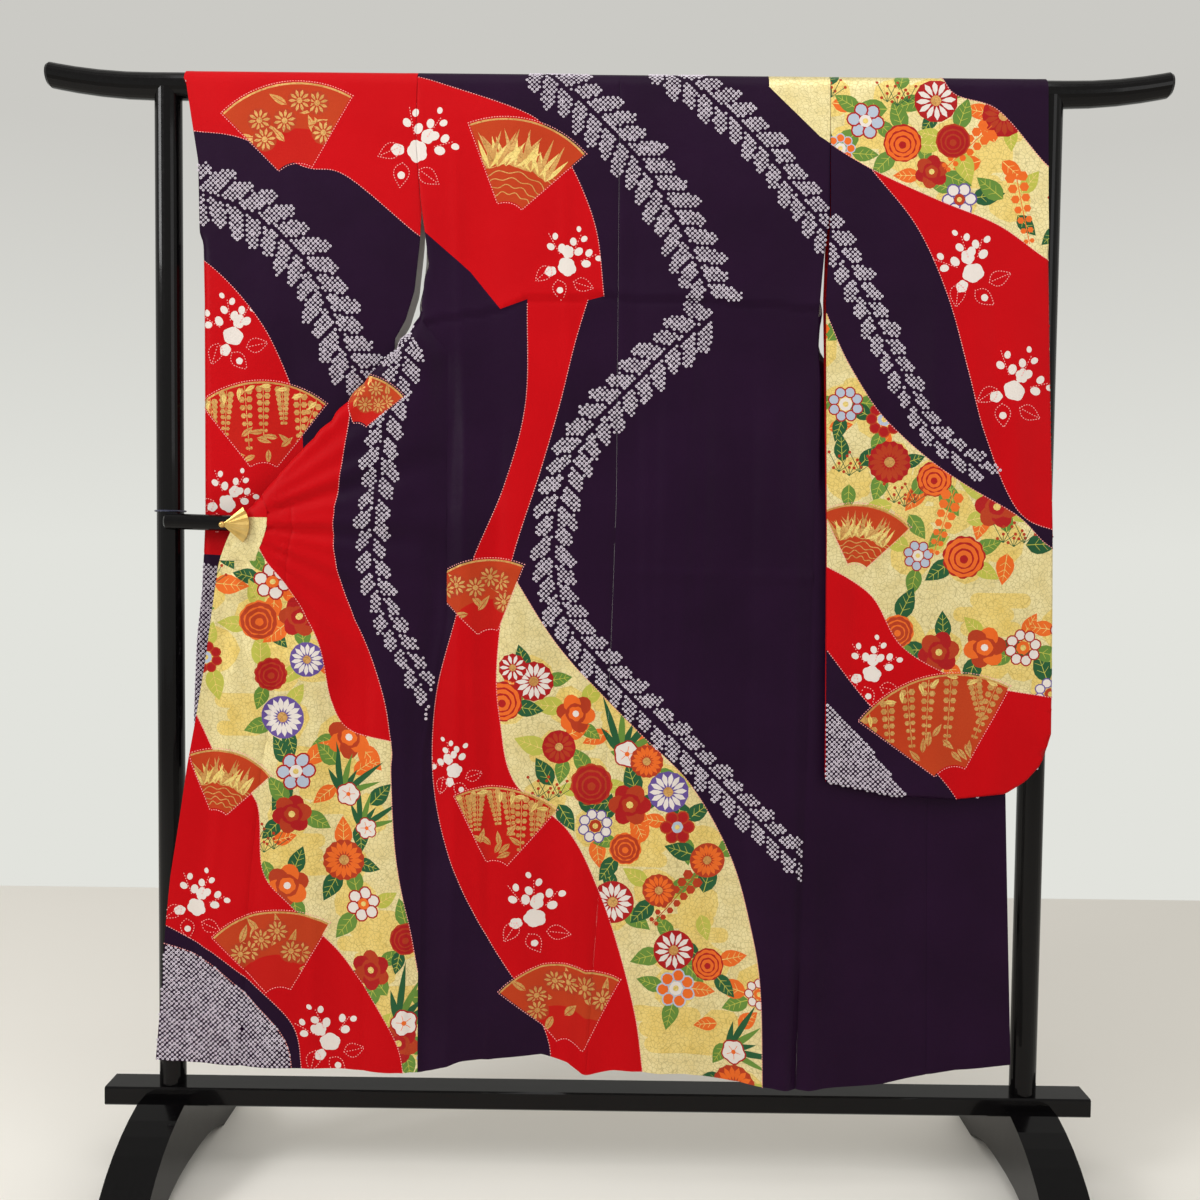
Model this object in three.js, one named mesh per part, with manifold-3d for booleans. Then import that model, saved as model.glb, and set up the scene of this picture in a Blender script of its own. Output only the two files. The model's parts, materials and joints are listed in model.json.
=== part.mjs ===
// A furisode kimono hung over its display stand and seen from the back.
// Millimetres, +Z up, the wearer's back towards -Y, the floor at Z = 0, X = 0 midway between the posts.
import * as THREE from "three";
import { ConvexGeometry } from "three/addons/geometries/ConvexGeometry.js";
import { mergeVertices } from "three/addons/utils/BufferGeometryUtils.js";
import Module from "manifold-3d";
const wasm = await Module();
wasm.setup();

// ---- named sizes ----
const CLOTH = 1.6; // cloth wall
const GAP = 0.25; // half the gap at a seam
const BAR = { z: 1745, r: 21, half: 885, bend: 715, rise: 17.5, thin: 19.5 };
const POST = { x: 693, r: 21 };
const PLANK = { half: 795, deep: 26, low: 118, high: 148 };
const FOOT = { x: 697, wide: 76, half: 240 };
const ROD = { r: 12.5, y: -33.8, zl: 1061, zr: 1031, half: 690 };
const RB = 23; // the cloth's middle surface round the bar
const UNDERARM = 1388, // top of the side seams
  CUFF = 1530, // foot of the cuff openings
  COLLAR_END = 1000,
  KENSAKI = 1540, // upper point of the overlap panels
  CLIP = 1085; // where the turned-back edge runs out
const seamGap = (z) => (z > CLIP - 60 && z < UNDERARM ? 0.8 : GAP); // wider where the seams turn over
const COLLAR_W = 55,
  NECK = 90,
  MID = 18; // the centre back where it crosses the bar

// ---- materials ----
const paint = (color, roughness, metalness = 0) => new THREE.MeshStandardMaterial({ color, roughness, metalness, side: THREE.DoubleSide });
const SILK = paint("#321a3a", 0.62),
  SILK_OVER = paint("#8f1420", 0.62),
  SILK_SLEEVE = paint("#3a1c40", 0.62),
  LACQUER = paint("#0b0a0b", 0.18),
  GILT = paint("#c9962e", 0.3, 1),
  CORD = paint("#10142c", 0.8);

// ---- small maths ----
const lerp = (a, b, t) => a + (b - a) * t;
const clamp = (t, a = 0, b = 1) => Math.min(b, Math.max(a, t));
const soft = (t) => ((t = clamp(t)), t * t * (3 - 2 * t));
// value of a table of [position, value] rows, positions rising, eased between the rows
const table = (rows, p) => {
  if (p <= rows[0][0]) return rows[0][1];
  for (let i = 1; i < rows.length; i++)
    if (p <= rows[i][0]) {
      const [a, va] = rows[i - 1],
        [b, vb] = rows[i];
      return lerp(va, vb, (p - a) / (b - a));
    }
  return rows.at(-1)[1];
};
const bump = (d, w) => Math.exp(-(d * d) / (w * w));

// ---- outlines seen from the back, as short tables ----
const HEM = [[-706, 206], [-588, 198], [-331, 192], [-275, 193], [-217, 213], [-88, 224], [-48, 213], [-21, 191],
  [24, 200], [143, 197], [263, 178], [334, 172], [454, 182], [568, 205], [656, 214]];
const CENTRE = [[200, -18], [629, 8], [1101, 20], [1768, MID]];
const SIDE = { // side edge of each back panel, by height
  left: [[197, -285], [700, -285], [785, -267], [911, -243], [1330, -246], [1372, -282], [1400, -287], [1445, -282], [1463, -276],
    [1500, -281], [1563, -290], [1654, -298], [1768, -297]],
  right: [[188, 315], [473, 318], [633, 323], [949, 328], [1388, 331], [1415, 333], [1500, 340], [1548, 347], [1768, 345]],
};
const OUT = { // outermost reach of the front that is drawn out to each side
  left: [[200, -702], [322, -691], [466, -682], [593, -661], [719, -642], [814, -621], [876, -615], [939, -605], [1001, -596],
    [1032, -588], [1085, -555], [1180, -470], [1293, -370], [1347, -324], [1388, -291]],
  right: [[200, 656], [651, 636], [900, 626], [1061, 612], [1085, 600], [1180, 500], [1293, 385], [1340, 338.5], [1388, 336]],
};
const SLEEVE = {
  left: {
    inner: [[641, -342], [1200, -338], [1351, -330], [1379, -314], [1425, -300], [1500, -292], [1548, -289.5], [1563, -291.5], [1654, -299], [1768, -298]],
    outer: [[641, -653], [764, -653], [874, -649], [953, -641], [1071, -636], [1407, -634], [1622, -638], [1768, -661]],
    foot: [[-653, 738], [-640, 702], [-615, 668], [-580, 648], [-500, 641], [-342, 655]],
    near: [[641, -27], [900, -21], [1030, -18.6], [1100, -19], [1388, -27], [1690, -25], [1745, -RB]],
    far: [[641, 10], [900, 18], [1388, 25], [1745, RB]],
  },
  right: {
    inner: [[665, 351], [1105, 345], [1416, 341.5], [1500, 345], [1548, 348], [1768, 346]],
    outer: [[755, 700], [952, 697], [1265, 690], [1574, 684], [1768, 683]],
    foot: [[351, 665], [451, 645], [554, 641], [631, 650], [662, 670], [686, 698], [700, 745]],
    near: [[641, -69], [1061, -66], [1388, -45], [1650, -29], [1745, -RB]],
    far: [[641, -58], [1061, -57], [1225, -38], [1388, -18], [1538, 1], [1745, RB]],
  },
};
const BACK_Y = [[200, -58], [500, -56], [1080, -52], [1390, -38], [1690, -26], [1745, -RB]];

// soft folds of the hanging cloth: [x at the top, x at the foot, top, foot, half width, height towards the viewer]
const FOLDS = [
  [-200, -232, 1340, 250, 26, 5], [-247, -266, 1330, 700, 15, -7], [-120, -150, 1250, 300, 40, 4],
  [-60, -84, 1100, 200, 30, -4], [60, 30, 1690, 700, 34, -3], [120, 96, 1660, 200, 46, 4], [205, 190, 1500, 200, 40, -3],
  [268, 262, 1380, 200, 26, 4], [330, 340, 620, 190, 18, 6], [420, 430, 700, 190, 36, 4], [500, 505, 700, 190, 30, -3],
  [590, 600, 700, 200, 34, 4], [-470, -520, 900, 200, 40, 5], [-400, -410, 1000, 200, 30, -5], [-330, -335, 980, 230, 30, 5],
  [-600, -640, 900, 220, 26, -4], [-200, -190, 1700, 1420, 34, -3], [250, 262, 1700, 1420, 30, 3],
];
const folds = (x, z) => {
  let d = 0;
  for (const [xt, xf, top, foot, w, a] of FOLDS) {
    const t = (top - z) / (top - foot);
    if (t > 0) d += a * soft(t * 4) * bump(x - lerp(xt, xf, t), w);
  }
  return d;
};
const hemRise = (x, z) => z + (table(HEM, x) - 200) * (1 - soft((z - 200) / 300));

// ---- a thin closed wall on a middle surface of points and quads ----
function wall(name, material, points, quads, thick = CLOTH) {
  const P = points.map((p) => new THREE.Vector3(...p));
  const N = P.map(() => new THREE.Vector3());
  const e1 = new THREE.Vector3(),
    e2 = new THREE.Vector3();
  for (const [a, b, c, d] of quads) {
    e1.subVectors(P[c], P[a]);
    e2.subVectors(P[d], P[b]).cross(e1).negate();
    for (const i of [a, b, c, d]) N[i].add(e2);
  }
  const n = P.length,
    pos = [];
  // a point that brings its own normal keeps it, all turned the way of the wall's
  const way = Math.sign(points.reduce((sum, p, i) => sum + (p.normal ? p.normal.dot(N[i]) : 0), 0));
  N.forEach((v, i) => (points[i].normal ? v.copy(points[i].normal).multiplyScalar(way) : v.normalize()));
  for (const s of [1, -1]) P.forEach((p, i) => pos.push(...p.clone().addScaledVector(N[i], (s * thick) / 2).toArray()));
  const tri = [],
    rim = new Map();
  for (const [a, b, c, d] of quads) {
    tri.push(a, b, c, a, c, d, n + a, n + c, n + b, n + a, n + d, n + c);
    for (const [i, j] of [[a, b], [b, c], [c, d], [d, a]]) {
      if (rim.has(j + ":" + i)) rim.delete(j + ":" + i);
      else rim.set(i + ":" + j, [i, j]);
    }
  }
  for (const [i, j] of rim.values()) tri.push(j, i, n + i, j, n + i, n + j);
  let vol = 0;
  const at = (i) => new THREE.Vector3().fromArray(pos, 3 * i);
  for (let i = 0; i < tri.length; i += 3) vol += at(tri[i]).dot(at(tri[i + 1]).cross(at(tri[i + 2])));
  if (vol < 0) for (let i = 0; i < tri.length; i += 3) [tri[i + 1], tri[i + 2]] = [tri[i + 2], tri[i + 1]];
  const g = new THREE.BufferGeometry();
  g.setAttribute("position", new THREE.Float32BufferAttribute(pos, 3));
  g.setIndex(tri);
  g.computeVertexNormals();
  return named(name, g, material);
}
function named(name, geometry, material, x = 0, y = 0, z = 0) {
  const mesh = new THREE.Mesh(geometry, material);
  mesh.name = name;
  mesh.position.set(x, y, z);
  return mesh;
}
// rows x columns grid; with ring the last row joins the first
function grid(rows, cols, f, ring = false) {
  const points = [],
    quads = [],
    n = rows.length;
  rows.forEach((r) => cols.forEach((c) => points.push(f(r, c))));
  for (let i = 0; i < (ring ? n : n - 1); i++)
    for (let j = 0; j < cols.length - 1; j++) {
      const k = ((i + 1) % n) * cols.length;
      quads.push([i * cols.length + j, i * cols.length + j + 1, k + j + 1, k + j]);
    }
  return { points, quads };
}
const spread = (n, a = 0, b = 1) => Array.from({ length: n + 1 }, (_, i) => lerp(a, b, i / n));

// ---- the plan-view path of a front, from its side edge to the collar's free edge ----
const LEN = [[200, 420], [CLIP, 0], [1130, 70], [1180, 136], [1240, 200], [1293, 256], [1347, 312], [1388, 358]];
function frontPath(side, z) {
  const s = side === "left" ? -1 : 1;
  const xs = table(SIDE[side], z) + s * 2 * GAP,
    xo = table(OUT[side], z),
    yb = table(BACK_Y, z);
  const far = side === "left" ? RB + 1 : table([[1085, -32], [1180, -12], [1388, RB + 1]], z);
  if (z >= UNDERARM) {
    // inside the armhole: the side edge swings from the near to the far side of the gap, then inwards
    const t = soft((z - UNDERARM) / 70);
    const xa = lerp(side === "left" ? -290.5 : 337.5, table(SIDE[side], z) + s * 0.4, soft((z - 1450) / 80));
    const y0 = lerp(yb, far, t);
    const free = MID + s * table([[1388, 6], [1540, 26], [1700, 34], [1768, NECK - COLLAR_W]], z);
    return [[xa, y0], [xa, lerp(y0, far - 4, 0.9)], [xa - s * 4, far], [free, far + 2]];
  }
  if (z >= CLIP) {
    const rest = table(LEN, z) * (side === "left" ? 1 : 0.87),
      edge = soft((UNDERARM - z) / 48);
    const yo = side === "left" ? yb - 2 - 8 * edge : lerp(yb, table([[1085, -51], [1180, -33], [1388, -2]], z), edge);
    const yi = yo + (side === "left" ? 19 : 18);
    const r = Math.min(9.5, Math.abs(xo - xs) * 0.5);
    const pts = side === "left" ? [[xs, yb], [lerp(xs, xo, 0.25), lerp(yb, yo, 0.8)]] : [[xs, yb], [xs + 3 * edge, lerp(yb, yo, 0.5)], [Math.min(xs + 6, xo - r), yo]];
    for (const a of [-90, -45, 0, 45, 90]) {
      const w = (a * Math.PI) / 180; // the turned edge
      pts.push([xo - s * r * (1 - Math.cos(w)), (yo + yi) / 2 + ((yi - yo) / 2) * Math.sin(w)]);
    }
    // turned back inwards, and on the left back through the gap to the far side
    const gate = table([[1347, -303], [1388, -292]], z);
    let room = rest,
      x = xo - s * r;
    if (side === "left") {
      const run = Math.min(room, Math.max(0, gate - x));
      pts.push([x + run, yi + run * 0.01]);
      room -= run;
      if (room > 1) {
        const deep = Math.min(room, far - yi);
        pts.push([gate + 5, lerp(yi, far, deep / (far - yi))]);
        room -= deep;
        if (room > 1) pts.push([gate + 9, far], [gate + 9 + room, far + 2]);
      }
    } else pts.push([x - room * 0.5, lerp(yi, Math.max(yi, far), 0.5)], [x - room, Math.max(yi, far)]);
    return pts;
  }
  const yo = side === "left" ? table([[200, -52], [700, -58], [1085, -62]], z) : table([[200, -49], [1085, -51]], z);
  return [[xs, yb], [lerp(xs, xo, 0.12), lerp(yb, yo, 0.5)], [lerp(xs, xo, 0.5), yo], [xo, yo]];
}
function along(path, t) {
  const len = path.slice(1).map((p, i) => Math.hypot(p[0] - path[i][0], p[1] - path[i][1]));
  const all = len.reduce((a, b) => a + b, 0);
  let d = clamp(t) * all;
  for (let i = 0; i < len.length; i++) {
    if (d <= len[i] || i === len.length - 1) {
      const k = len[i] ? Math.min(1, d / len[i]) : 0;
      return [lerp(path[i][0], path[i + 1][0], k), lerp(path[i][1], path[i + 1][1], k), all];
    }
    d -= len[i];
  }
}
// shares of the path taken by the main panel and by the overlap panel
const share = (side, z) => {
  const all = along(frontPath(side, z), 0)[2];
  const collar = z > COLLAR_END ? Math.min(COLLAR_W / all, 0.3) : 0;
  const base = side === "left" ? 0.68 : 0.61;
  const wide = lerp(base, 1 - COLLAR_W / all, clamp((z - 900) / (KENSAKI - 900)));
  return { main: z > KENSAKI ? 1 - collar : Math.min(wide, 1 - collar - 6 / all), over: 1 - collar, all };
};
function frontPoint(side, z, t) {
  const [x, y] = along(frontPath(side, z), t);
  const lower = soft((CLIP - z) / 160);
  return [x, y - folds(x, z) * lower * (side === "left" ? 0.8 : 0.5), hemRise(x, z)];
}
// the same point with the surface's own normal, for the two sides of a seam
function seamPoint(side, z, t) {
  const V = (a, b) => new THREE.Vector3(...frontPoint(side, a, b)), { all } = share(side, z);
  const p = frontPoint(side, z, t), h = 3 / all;
  p.normal = V(z, t + h).sub(V(z, t - h)).cross(V(z + 3, t).sub(V(z - 3, t))).normalize();
  return p;
}

// ---- the garment's pieces ----
const BACK_ROWS = [200, 260, 330, 410, 500, 590, 680, 760, 850, 930, 1000, 1050, 1100, 1170, 1240, 1293, 1320, 1347, 1368, 1388, 1405, 1425, 1450,
  1500, 1560, 1630, 1700];
const WRAP = spread(8, -90, 90);
// (close together where the seams run round the turned edge)
const FRONT_ROWS = [1700, 1630, KENSAKI + 2, KENSAKI, 1480, 1450, 1425, 1405, 1388, 1368, 1347, 1320, 1293, 1265, 1235, 1205, 1180, ...spread(11, 1163, 1097), CLIP, 1050, COLLAR_END + 0.8,
  COLLAR_END - 0.8, 930, 850, 760, 680, 590, 500, 410, 330, 260, 200];

function bodyPanel(side) {
  const s = side === "left" ? -1 : 1;
  const rows = [
    ...BACK_ROWS.map((z) => ({ z, k: "back" })),
    ...WRAP.map((a) => ({ a: (a * Math.PI) / 180, k: "bar" })),
    ...FRONT_ROWS.map((z) => ({ z, k: "front" })),
  ];
  const cols = [0, 0.08, 0.18, 0.29, 0.41, 0.53, 0.65, 0.77, 0.89, 1];
  const { points, quads } = grid(rows, cols, (r, c) => {
    if (r.k === "back") {
      const side0 = table(SIDE[side], r.z) - s * 1.2 * soft((r.z - 1100) / 60) * soft((1450 - r.z) / 25), // clear of the front as it turns away
        mid = table(CENTRE, r.z) + s * GAP;
      const x = lerp(side0, mid, c);
      const y = table(BACK_Y, r.z) - folds(x, r.z) * soft(Math.abs(x - side0) / 14) * soft((1745 - r.z) / 200);
      return [x, y, hemRise(x, r.z)];
    }
    if (r.k === "bar") {
      const z = BAR.z + RB * Math.cos(r.a);
      const neck = soft((r.a - 0.74) / 0.42) * s * NECK;
      const x = lerp(table(SIDE[side], 1768), table(CENTRE, 1768) + s * GAP + neck, c);
      return [x, RB * Math.sin(r.a), z];
    }
    const { main, all } = share(side, r.z);
    const end = main - seamGap(r.z) / all;
    return c === 1 ? seamPoint(side, r.z, end) : frontPoint(side, r.z, c * end);
  });
  return wall("body_" + side, SILK, points, quads);
}
function overlapPanel(side) {
  const rows = FRONT_ROWS.filter((z) => z <= KENSAKI);
  const { points, quads } = grid(rows, spread(4), (z, c) => {
    const { main, over, all } = share(side, z);
    const a = main + seamGap(z) / all, b = over < 1 ? over - seamGap(z) / all : 1;
    return c === 0 || (c === 1 && over < 1) ? seamPoint(side, z, c ? b : a) : frontPoint(side, z, lerp(a, b, c));
  });
  return wall("okumi_" + side, SILK_OVER, points, quads);
}
function collar() {
  const across = spread(6); // columns from the seam to the free edge
  const down = [...FRONT_ROWS.filter((z) => z > COLLAR_END && z < 1720)];
  const one = (side) => down.map((z) => across.map((c) => {
    const { over, all } = share(side, z), a = over + seamGap(z) / all;
    if (c) return frontPoint(side, z, lerp(a, 1, c));
    const p = seamPoint(side, z, a);
    if (side === "right") p.normal.negate(); // the two sides run opposite ways along the collar
    return p;
  }));
  // round the neck: the seam edge on the bar's far shoulder, the free edge hanging below it
  const round = [-1, -0.86, -0.5, 0, 0.5, 0.86, 1].map((k) => {
    const a = Math.PI / 4 + (Math.PI / 8) * Math.abs(k) + 0.045,
      x = MID + k * (NECK - 0.9), xf = MID + k * (NECK - COLLAR_W);
    const on = (r, t, xx) => [xx, r * Math.sin(t), BAR.z + r * Math.cos(t)];
    const four = [on(RB, a, x), on(RB, Math.max(a + 0.15, 1.3), lerp(x, xf, 0.3)), [lerp(x, xf, 0.65), RB + 1.4, 1732], [xf, RB + 3, 1706]];
    return across.map((c) => {
      const i = Math.min(2, Math.floor(c * 3));
      return four[i].map((v, j) => lerp(v, four[i + 1][j], c * 3 - i));
    });
  });
  const left = one("left").reverse(), right = one("right");
  const rows = [...left, ...round, ...right];
  const { points, quads } = grid(rows, across.map((_, i) => i), (r, c) => r[c]);
  return wall("collar", SILK, points, quads);
}
function sleeve(side) {
  const S = SLEEVE[side], s = side === "left" ? -1 : 1;
  const heights = [0.972, 0.935, 0.89, 0.84, 0.795, 0.74, 0.68, 0.61, 0.54, 0.46, 0.38, 0.3, 0.22, 0.14, 0.06];
  const rows = [
    ...WRAP.map((a) => ({ a: (-a * Math.PI) / 180, k: "bar" })),
    ...heights.map((h) => ({ h, k: "near" })),
    { k: "foot", c: -0.8 }, { k: "foot", c: 0 }, { k: "foot", c: 0.8 },
    ...[...heights].reverse().map((h) => ({ h, k: "far" })),
  ];
  const cols = [0, 0.13, 0.28, 0.44, 0.6, 0.75, 0.87, 0.95, 1];
  const zof = (x, h) => lerp(table(S.foot, x) + 6, BAR.z, h);
  const ofX = (c, h) => {
    // the edges follow their own height tables
    let z = lerp(660, BAR.z, h);
    for (let i = 0; i < 3; i++) z = zof(lerp(table(S.inner, z), table(S.outer, z), c), h);
    return [lerp(table(S.inner, z), table(S.outer, z), c), z];
  };
  const wave = (x, z) => soft((1600 - z) / 400) * (2.2 * Math.sin(x / 27 + z / 310) + 1.6 * Math.sin(x / 14.5 - z / 240)) * soft((Math.abs(x - table(S.inner, z)) - 6) / 30);
  const layer = (k, x, z, c) => {
    const yn = table(S.near, z), yf = table(S.far, z);
    if (k === "near") return yn - (side === "right" ? 0.9 : 0.35) * wave(x, z);
    return yf;
  };
  const place = (r, c) => {
    if (r.k === "bar") {
      const out = table(S.outer, 1768), cut = side === "right" ? lerp(out, 664, soft((r.a + 0.2) / 1.2)) : out;
      return [lerp(table(S.inner, 1768), cut, c), RB * Math.sin(r.a), BAR.z + RB * Math.cos(r.a)];
    }
    if (r.k === "foot") {
      const [x, z] = ofX(c, 0), yn = table(S.near, 660), yf = farAt(x, z, c)[1];
      return [x, lerp(lerp(yn, yf, 0.5), r.c < 0 ? yn : yf, Math.abs(r.c)), z - 5.2 * (1 - Math.abs(r.c) * 0.6)];
    }
    const [x, z] = ofX(c, r.h);
    if (r.k === "near") return [x, layer("near", x, z, c), z];
    const [fx, fy] = farAt(x, z, c);
    return [fx, fy, z];
  };
  // the far layer; on the right its outer edge swings in front of the post below the cuff
  function farAt(x, z, c) {
    const y = table(S.far, z);
    if (side === "left") return [x, y];
    const swing = soft((CUFF + 50 - z) / 110), edge = clamp((c - 0.6) / 0.4);
    const y1 = table(S.near, z) + 9;
    const xin = x < 636 ? x : lerp(636, 660, (x - 636) / (table(S.outer, z) - 636));
    const q = swing * edge;
    const yq = lerp(y, Math.min(y, y1), soft(q * 1.35));
    return [lerp(xin, x - 2 * edge, soft((q - 0.72) / 0.28)), yq];
  }
  const { points, quads } = grid(rows, cols, (r, c) => place(r, c), true);
  // the sewn outer edge below the cuff: one more column between the two layers
  const n = cols.length, last = (i) => i * n + n - 1;
  const nearRow = rows.findIndex((r) => r.k === "near"), footRow = rows.findIndex((r) => r.k === "foot");
  const rowCount = heights.length, pairs = [];
  for (let i = 0; i < rowCount; i++) {
    const z = points[last(nearRow + i)][2];
    if (z < CUFF) pairs.push([last(nearRow + i), last(footRow + 3 + (rowCount - 1 - i))]);
  }
  pairs.push([last(footRow), last(footRow + 2)]);
  const mids = pairs.map(([a, b]) => {
    const A = points[a], B = points[b];
    points.push([Math.abs(A[0]) > Math.abs(B[0]) ? A[0] + s * 2.2 : B[0] + s * 2.2, (A[1] + B[1]) / 2, (A[2] + B[2]) / 2]);
    return points.length - 1;
  });
  for (let i = 0; i + 1 < pairs.length; i++) {
    const [a, b] = pairs[i], [c, d] = pairs[i + 1];
    quads.push([a, mids[i], mids[i + 1], c], [mids[i], b, d, mids[i + 1]]);
  }
  // close the lowest corner
  const foot1 = last(footRow + 1), [a, b] = pairs.at(-1);
  quads.push([a, mids.at(-1), b, foot1]);
  return wall("sleeve_" + side, SILK_SLEEVE, points, orient(quads));
}
// turn every quad the same way round as its neighbours
function orient(quads) {
  const done = new Set([0]), todo = [0], out = quads.map((q) => [...q]);
  const edges = new Map();
  const key = (i, j) => (i < j ? i + ":" + j : j + ":" + i);
  quads.forEach((q, k) => q.forEach((v, i) => {
    const e = key(v, q[(i + 1) % 4]);
    edges.set(e, [...(edges.get(e) || []), k]);
  }));
  const has = (q, i, j) => q.some((v, k) => v === i && q[(k + 1) % 4] === j);
  while (todo.length) {
    const k = todo.pop(), q = out[k];
    q.forEach((v, i) => {
      const w = q[(i + 1) % 4];
      for (const o of edges.get(key(v, w)))
        if (!done.has(o)) {
          if (has(out[o], v, w)) out[o].reverse();
          done.add(o);
          todo.push(o);
        }
    });
  }
  return out;
}

// ---- joining and cutting ----
const { Manifold } = wasm;
function asSolid(geometry) {
  const g = geometry.clone();
  g.deleteAttribute("normal");
  g.deleteAttribute("uv");
  const m = mergeVertices(g, 1e-3);
  return new Manifold(new wasm.Mesh({ numProp: 3, vertProperties: new Float32Array(m.attributes.position.array), triVerts: new Uint32Array(m.index.array) }));
}
function asGeometry(solid) {
  const m = solid.getMesh(),
    g = new THREE.BufferGeometry();
  g.setAttribute("position", new THREE.Float32BufferAttribute(m.vertProperties, 3));
  g.setIndex(Array.from(m.triVerts));
  g.computeVertexNormals();
  return g;
}
const joined = (...list) => asGeometry(list.slice(1).reduce((a, b) => a.add(asSolid(b)), asSolid(list[0])));
const cut = (geometry, ...tools) => asGeometry(tools.reduce((a, b) => a.subtract(asSolid(b)), asSolid(geometry)));
// ---- the stand ----
const alongX = (g) => g.rotateZ(-Math.PI / 2);
function topBar() {
  // a turned bar, slimmer and rounded at its ends, then bent up past the posts
  const out = [0, 0.25, 0.5, 0.72, 0.88, 0.955].map((t) => [lerp(BAR.bend, BAR.half, t), lerp(BAR.r, BAR.thin, t)]);
  out.push([BAR.half - 3, 16.5], [BAR.half, 10], [BAR.half, 0]);
  const profile = [...out.map(([x, r]) => [r, -x]).reverse(), ...out.map(([x, r]) => [r, x])];
  const g = alongX(new THREE.LatheGeometry(profile.map(([r, x]) => new THREE.Vector2(r, x)), 24));
  const p = g.attributes.position;
  for (let i = 0; i < p.count; i++) {
    const t = clamp((Math.abs(p.getX(i)) - BAR.bend) / (BAR.half - BAR.bend));
    p.setZ(i, p.getZ(i) + BAR.rise * t * t);
  }
  return named("top_bar", g, LACQUER, 0, 0, BAR.z);
}
function post(side) {
  const low = PLANK.high + 0.3, high = BAR.z - 6;
  const rod = new THREE.CylinderGeometry(POST.r, POST.r, high - low, 28).rotateX(Math.PI / 2).translate(0, 0, (low + high) / 2);
  const saddle = alongX(new THREE.CylinderGeometry(BAR.r + 0.35, BAR.r + 0.35, 120, 24)).translate(0, 0, BAR.z);
  return named("post_" + side, cut(rod, saddle), LACQUER, (side === "left" ? -1 : 1) * POST.x);
}
// an outline in the Y-Z plane, drawn out along X
function barOf(outline, length) {
  const shape = new THREE.Shape(outline.map(([y, z]) => new THREE.Vector2(y, z)));
  const g = new THREE.ExtrudeGeometry(shape, { depth: length, bevelEnabled: false });
  return g.applyMatrix4(new THREE.Matrix4().set(0, 0, 1, -length / 2, 1, 0, 0, 0, 0, 1, 0, 0, 0, 0, 0, 1));
}
function plank() {
  const c = 2.5, y = PLANK.deep, a = PLANK.low, b = PLANK.high;
  return named("plank", barOf([[-y + c, a], [y - c, a], [y, a + c], [y, b - c], [y - c, b], [-y + c, b], [-y, b - c], [-y, a + c]], 2 * PLANK.half), LACQUER);
}
function foot(side) {
  // half outline from the crown out to the toe and back under the arch
  const top = [[45, 129], [80, 120], [110, 109], [140, 94], [167, 76], [192, 54], [214, 31], [230, 12], [FOOT.half, 0]];
  const under = [[150, 0], [132, 9], [105, 18], [70, 25], [30, 28]];
  const half = [...top, ...under];
  const block = barOf([...half, ...half.map(([y, z]) => [-y, z]).reverse()], FOOT.wide);
  const slot = new THREE.BoxGeometry(200, 2 * (PLANK.deep + 0.3), 40).translate(0, 0, PLANK.low - 0.3 + 20);
  return named("foot_" + side, cut(block, slot), LACQUER, (side === "left" ? -1 : 1) * FOOT.x);
}
function crossbar() {
  const L = ROD.half, r = ROD.r;
  const g = alongX(new THREE.LatheGeometry([[0, -L], [9, -L], [r, -L + 3], [r, L - 3], [9, L], [0, L]].map(([a, b]) => new THREE.Vector2(a, b)), 20));
  const rod = named("crossbar", g, LACQUER, 0, ROD.y, (ROD.zl + ROD.zr) / 2);
  rod.rotation.y = Math.asin((ROD.zl - ROD.zr) / (2 * L));
  return rod;
}
// a cord tied round a post, just clear of it
const tie = (side) =>
  named("tie_" + side, new THREE.TorusGeometry(POST.r + 2, 1.5, 6, 18), CORD, (side === "left" ? -1 : 1) * POST.x, 0, side === "left" ? 1077.5 : 1052);
// folding-fan clip: a pleated leaf opening sideways from its pivot ball, with a pin back to the crossbar
function clip() {
  const reach = 41, half = 0.72, ribs = 10, leaf = 2.4;
  const V = (x, y, z) => new THREE.Vector3(x, y, z);
  const at = (i) => {
    const a = lerp(-half, half, i / ribs);
    return [reach * Math.cos(a), i % 2 ? -1.6 : 0, reach * Math.sin(a)];
  };
  const pleats = spread(ribs - 1, 0, ribs - 1).map((i) => {
    const [ax, ay, az] = at(i), [bx, by, bz] = at(i + 1);
    return new ConvexGeometry([V(0, 0, -1), V(0, 0, 1), V(0, leaf, -1), V(0, leaf, 1),
      V(ax, ay, az), V(bx, by, bz), V(ax, ay + leaf, az), V(bx, by + leaf, bz)]);
  });
  const pin = new THREE.CylinderGeometry(1.8, 1.8, 20.7, 12).translate(-5, 11.35, 0);
  const ball = new THREE.SphereGeometry(5.2, 16, 12).translate(-1.5, 1.5, 0);
  return named("fan_clip", joined(ball, pin, ...pleats), GILT, -588, -68, 1056);
}

// ---- the whole part ----
const garment = new THREE.Group(),
  stand = new THREE.Group(),
  root = new THREE.Group();
for (const side of ["left", "right"]) {
  garment.add(bodyPanel(side), overlapPanel(side), sleeve(side));
  stand.add(post(side), foot(side), tie(side));
}
garment.add(collar());
stand.add(topBar(), plank(), crossbar(), clip());
root.add(garment, stand);
export default root;
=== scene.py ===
# %% [markdown]
# # A furisode kimono on its display stand
# A furisode is the long-sleeved formal kimono. It hangs over a lacquered bar with its back to us, and one
# front is drawn out sideways to show its painting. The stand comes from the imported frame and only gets
# finishes. The silk is rebuilt here as thin cloth: each piece has a flat map (width across, height along),
# the design is cut into that map like coloured paper, and the map is then hung in space.

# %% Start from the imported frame
import json
import math

import bpy
import numpy as np
from mathutils import Matrix, Vector
from mathutils.geometry import delaunay_2d_cdt

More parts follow.
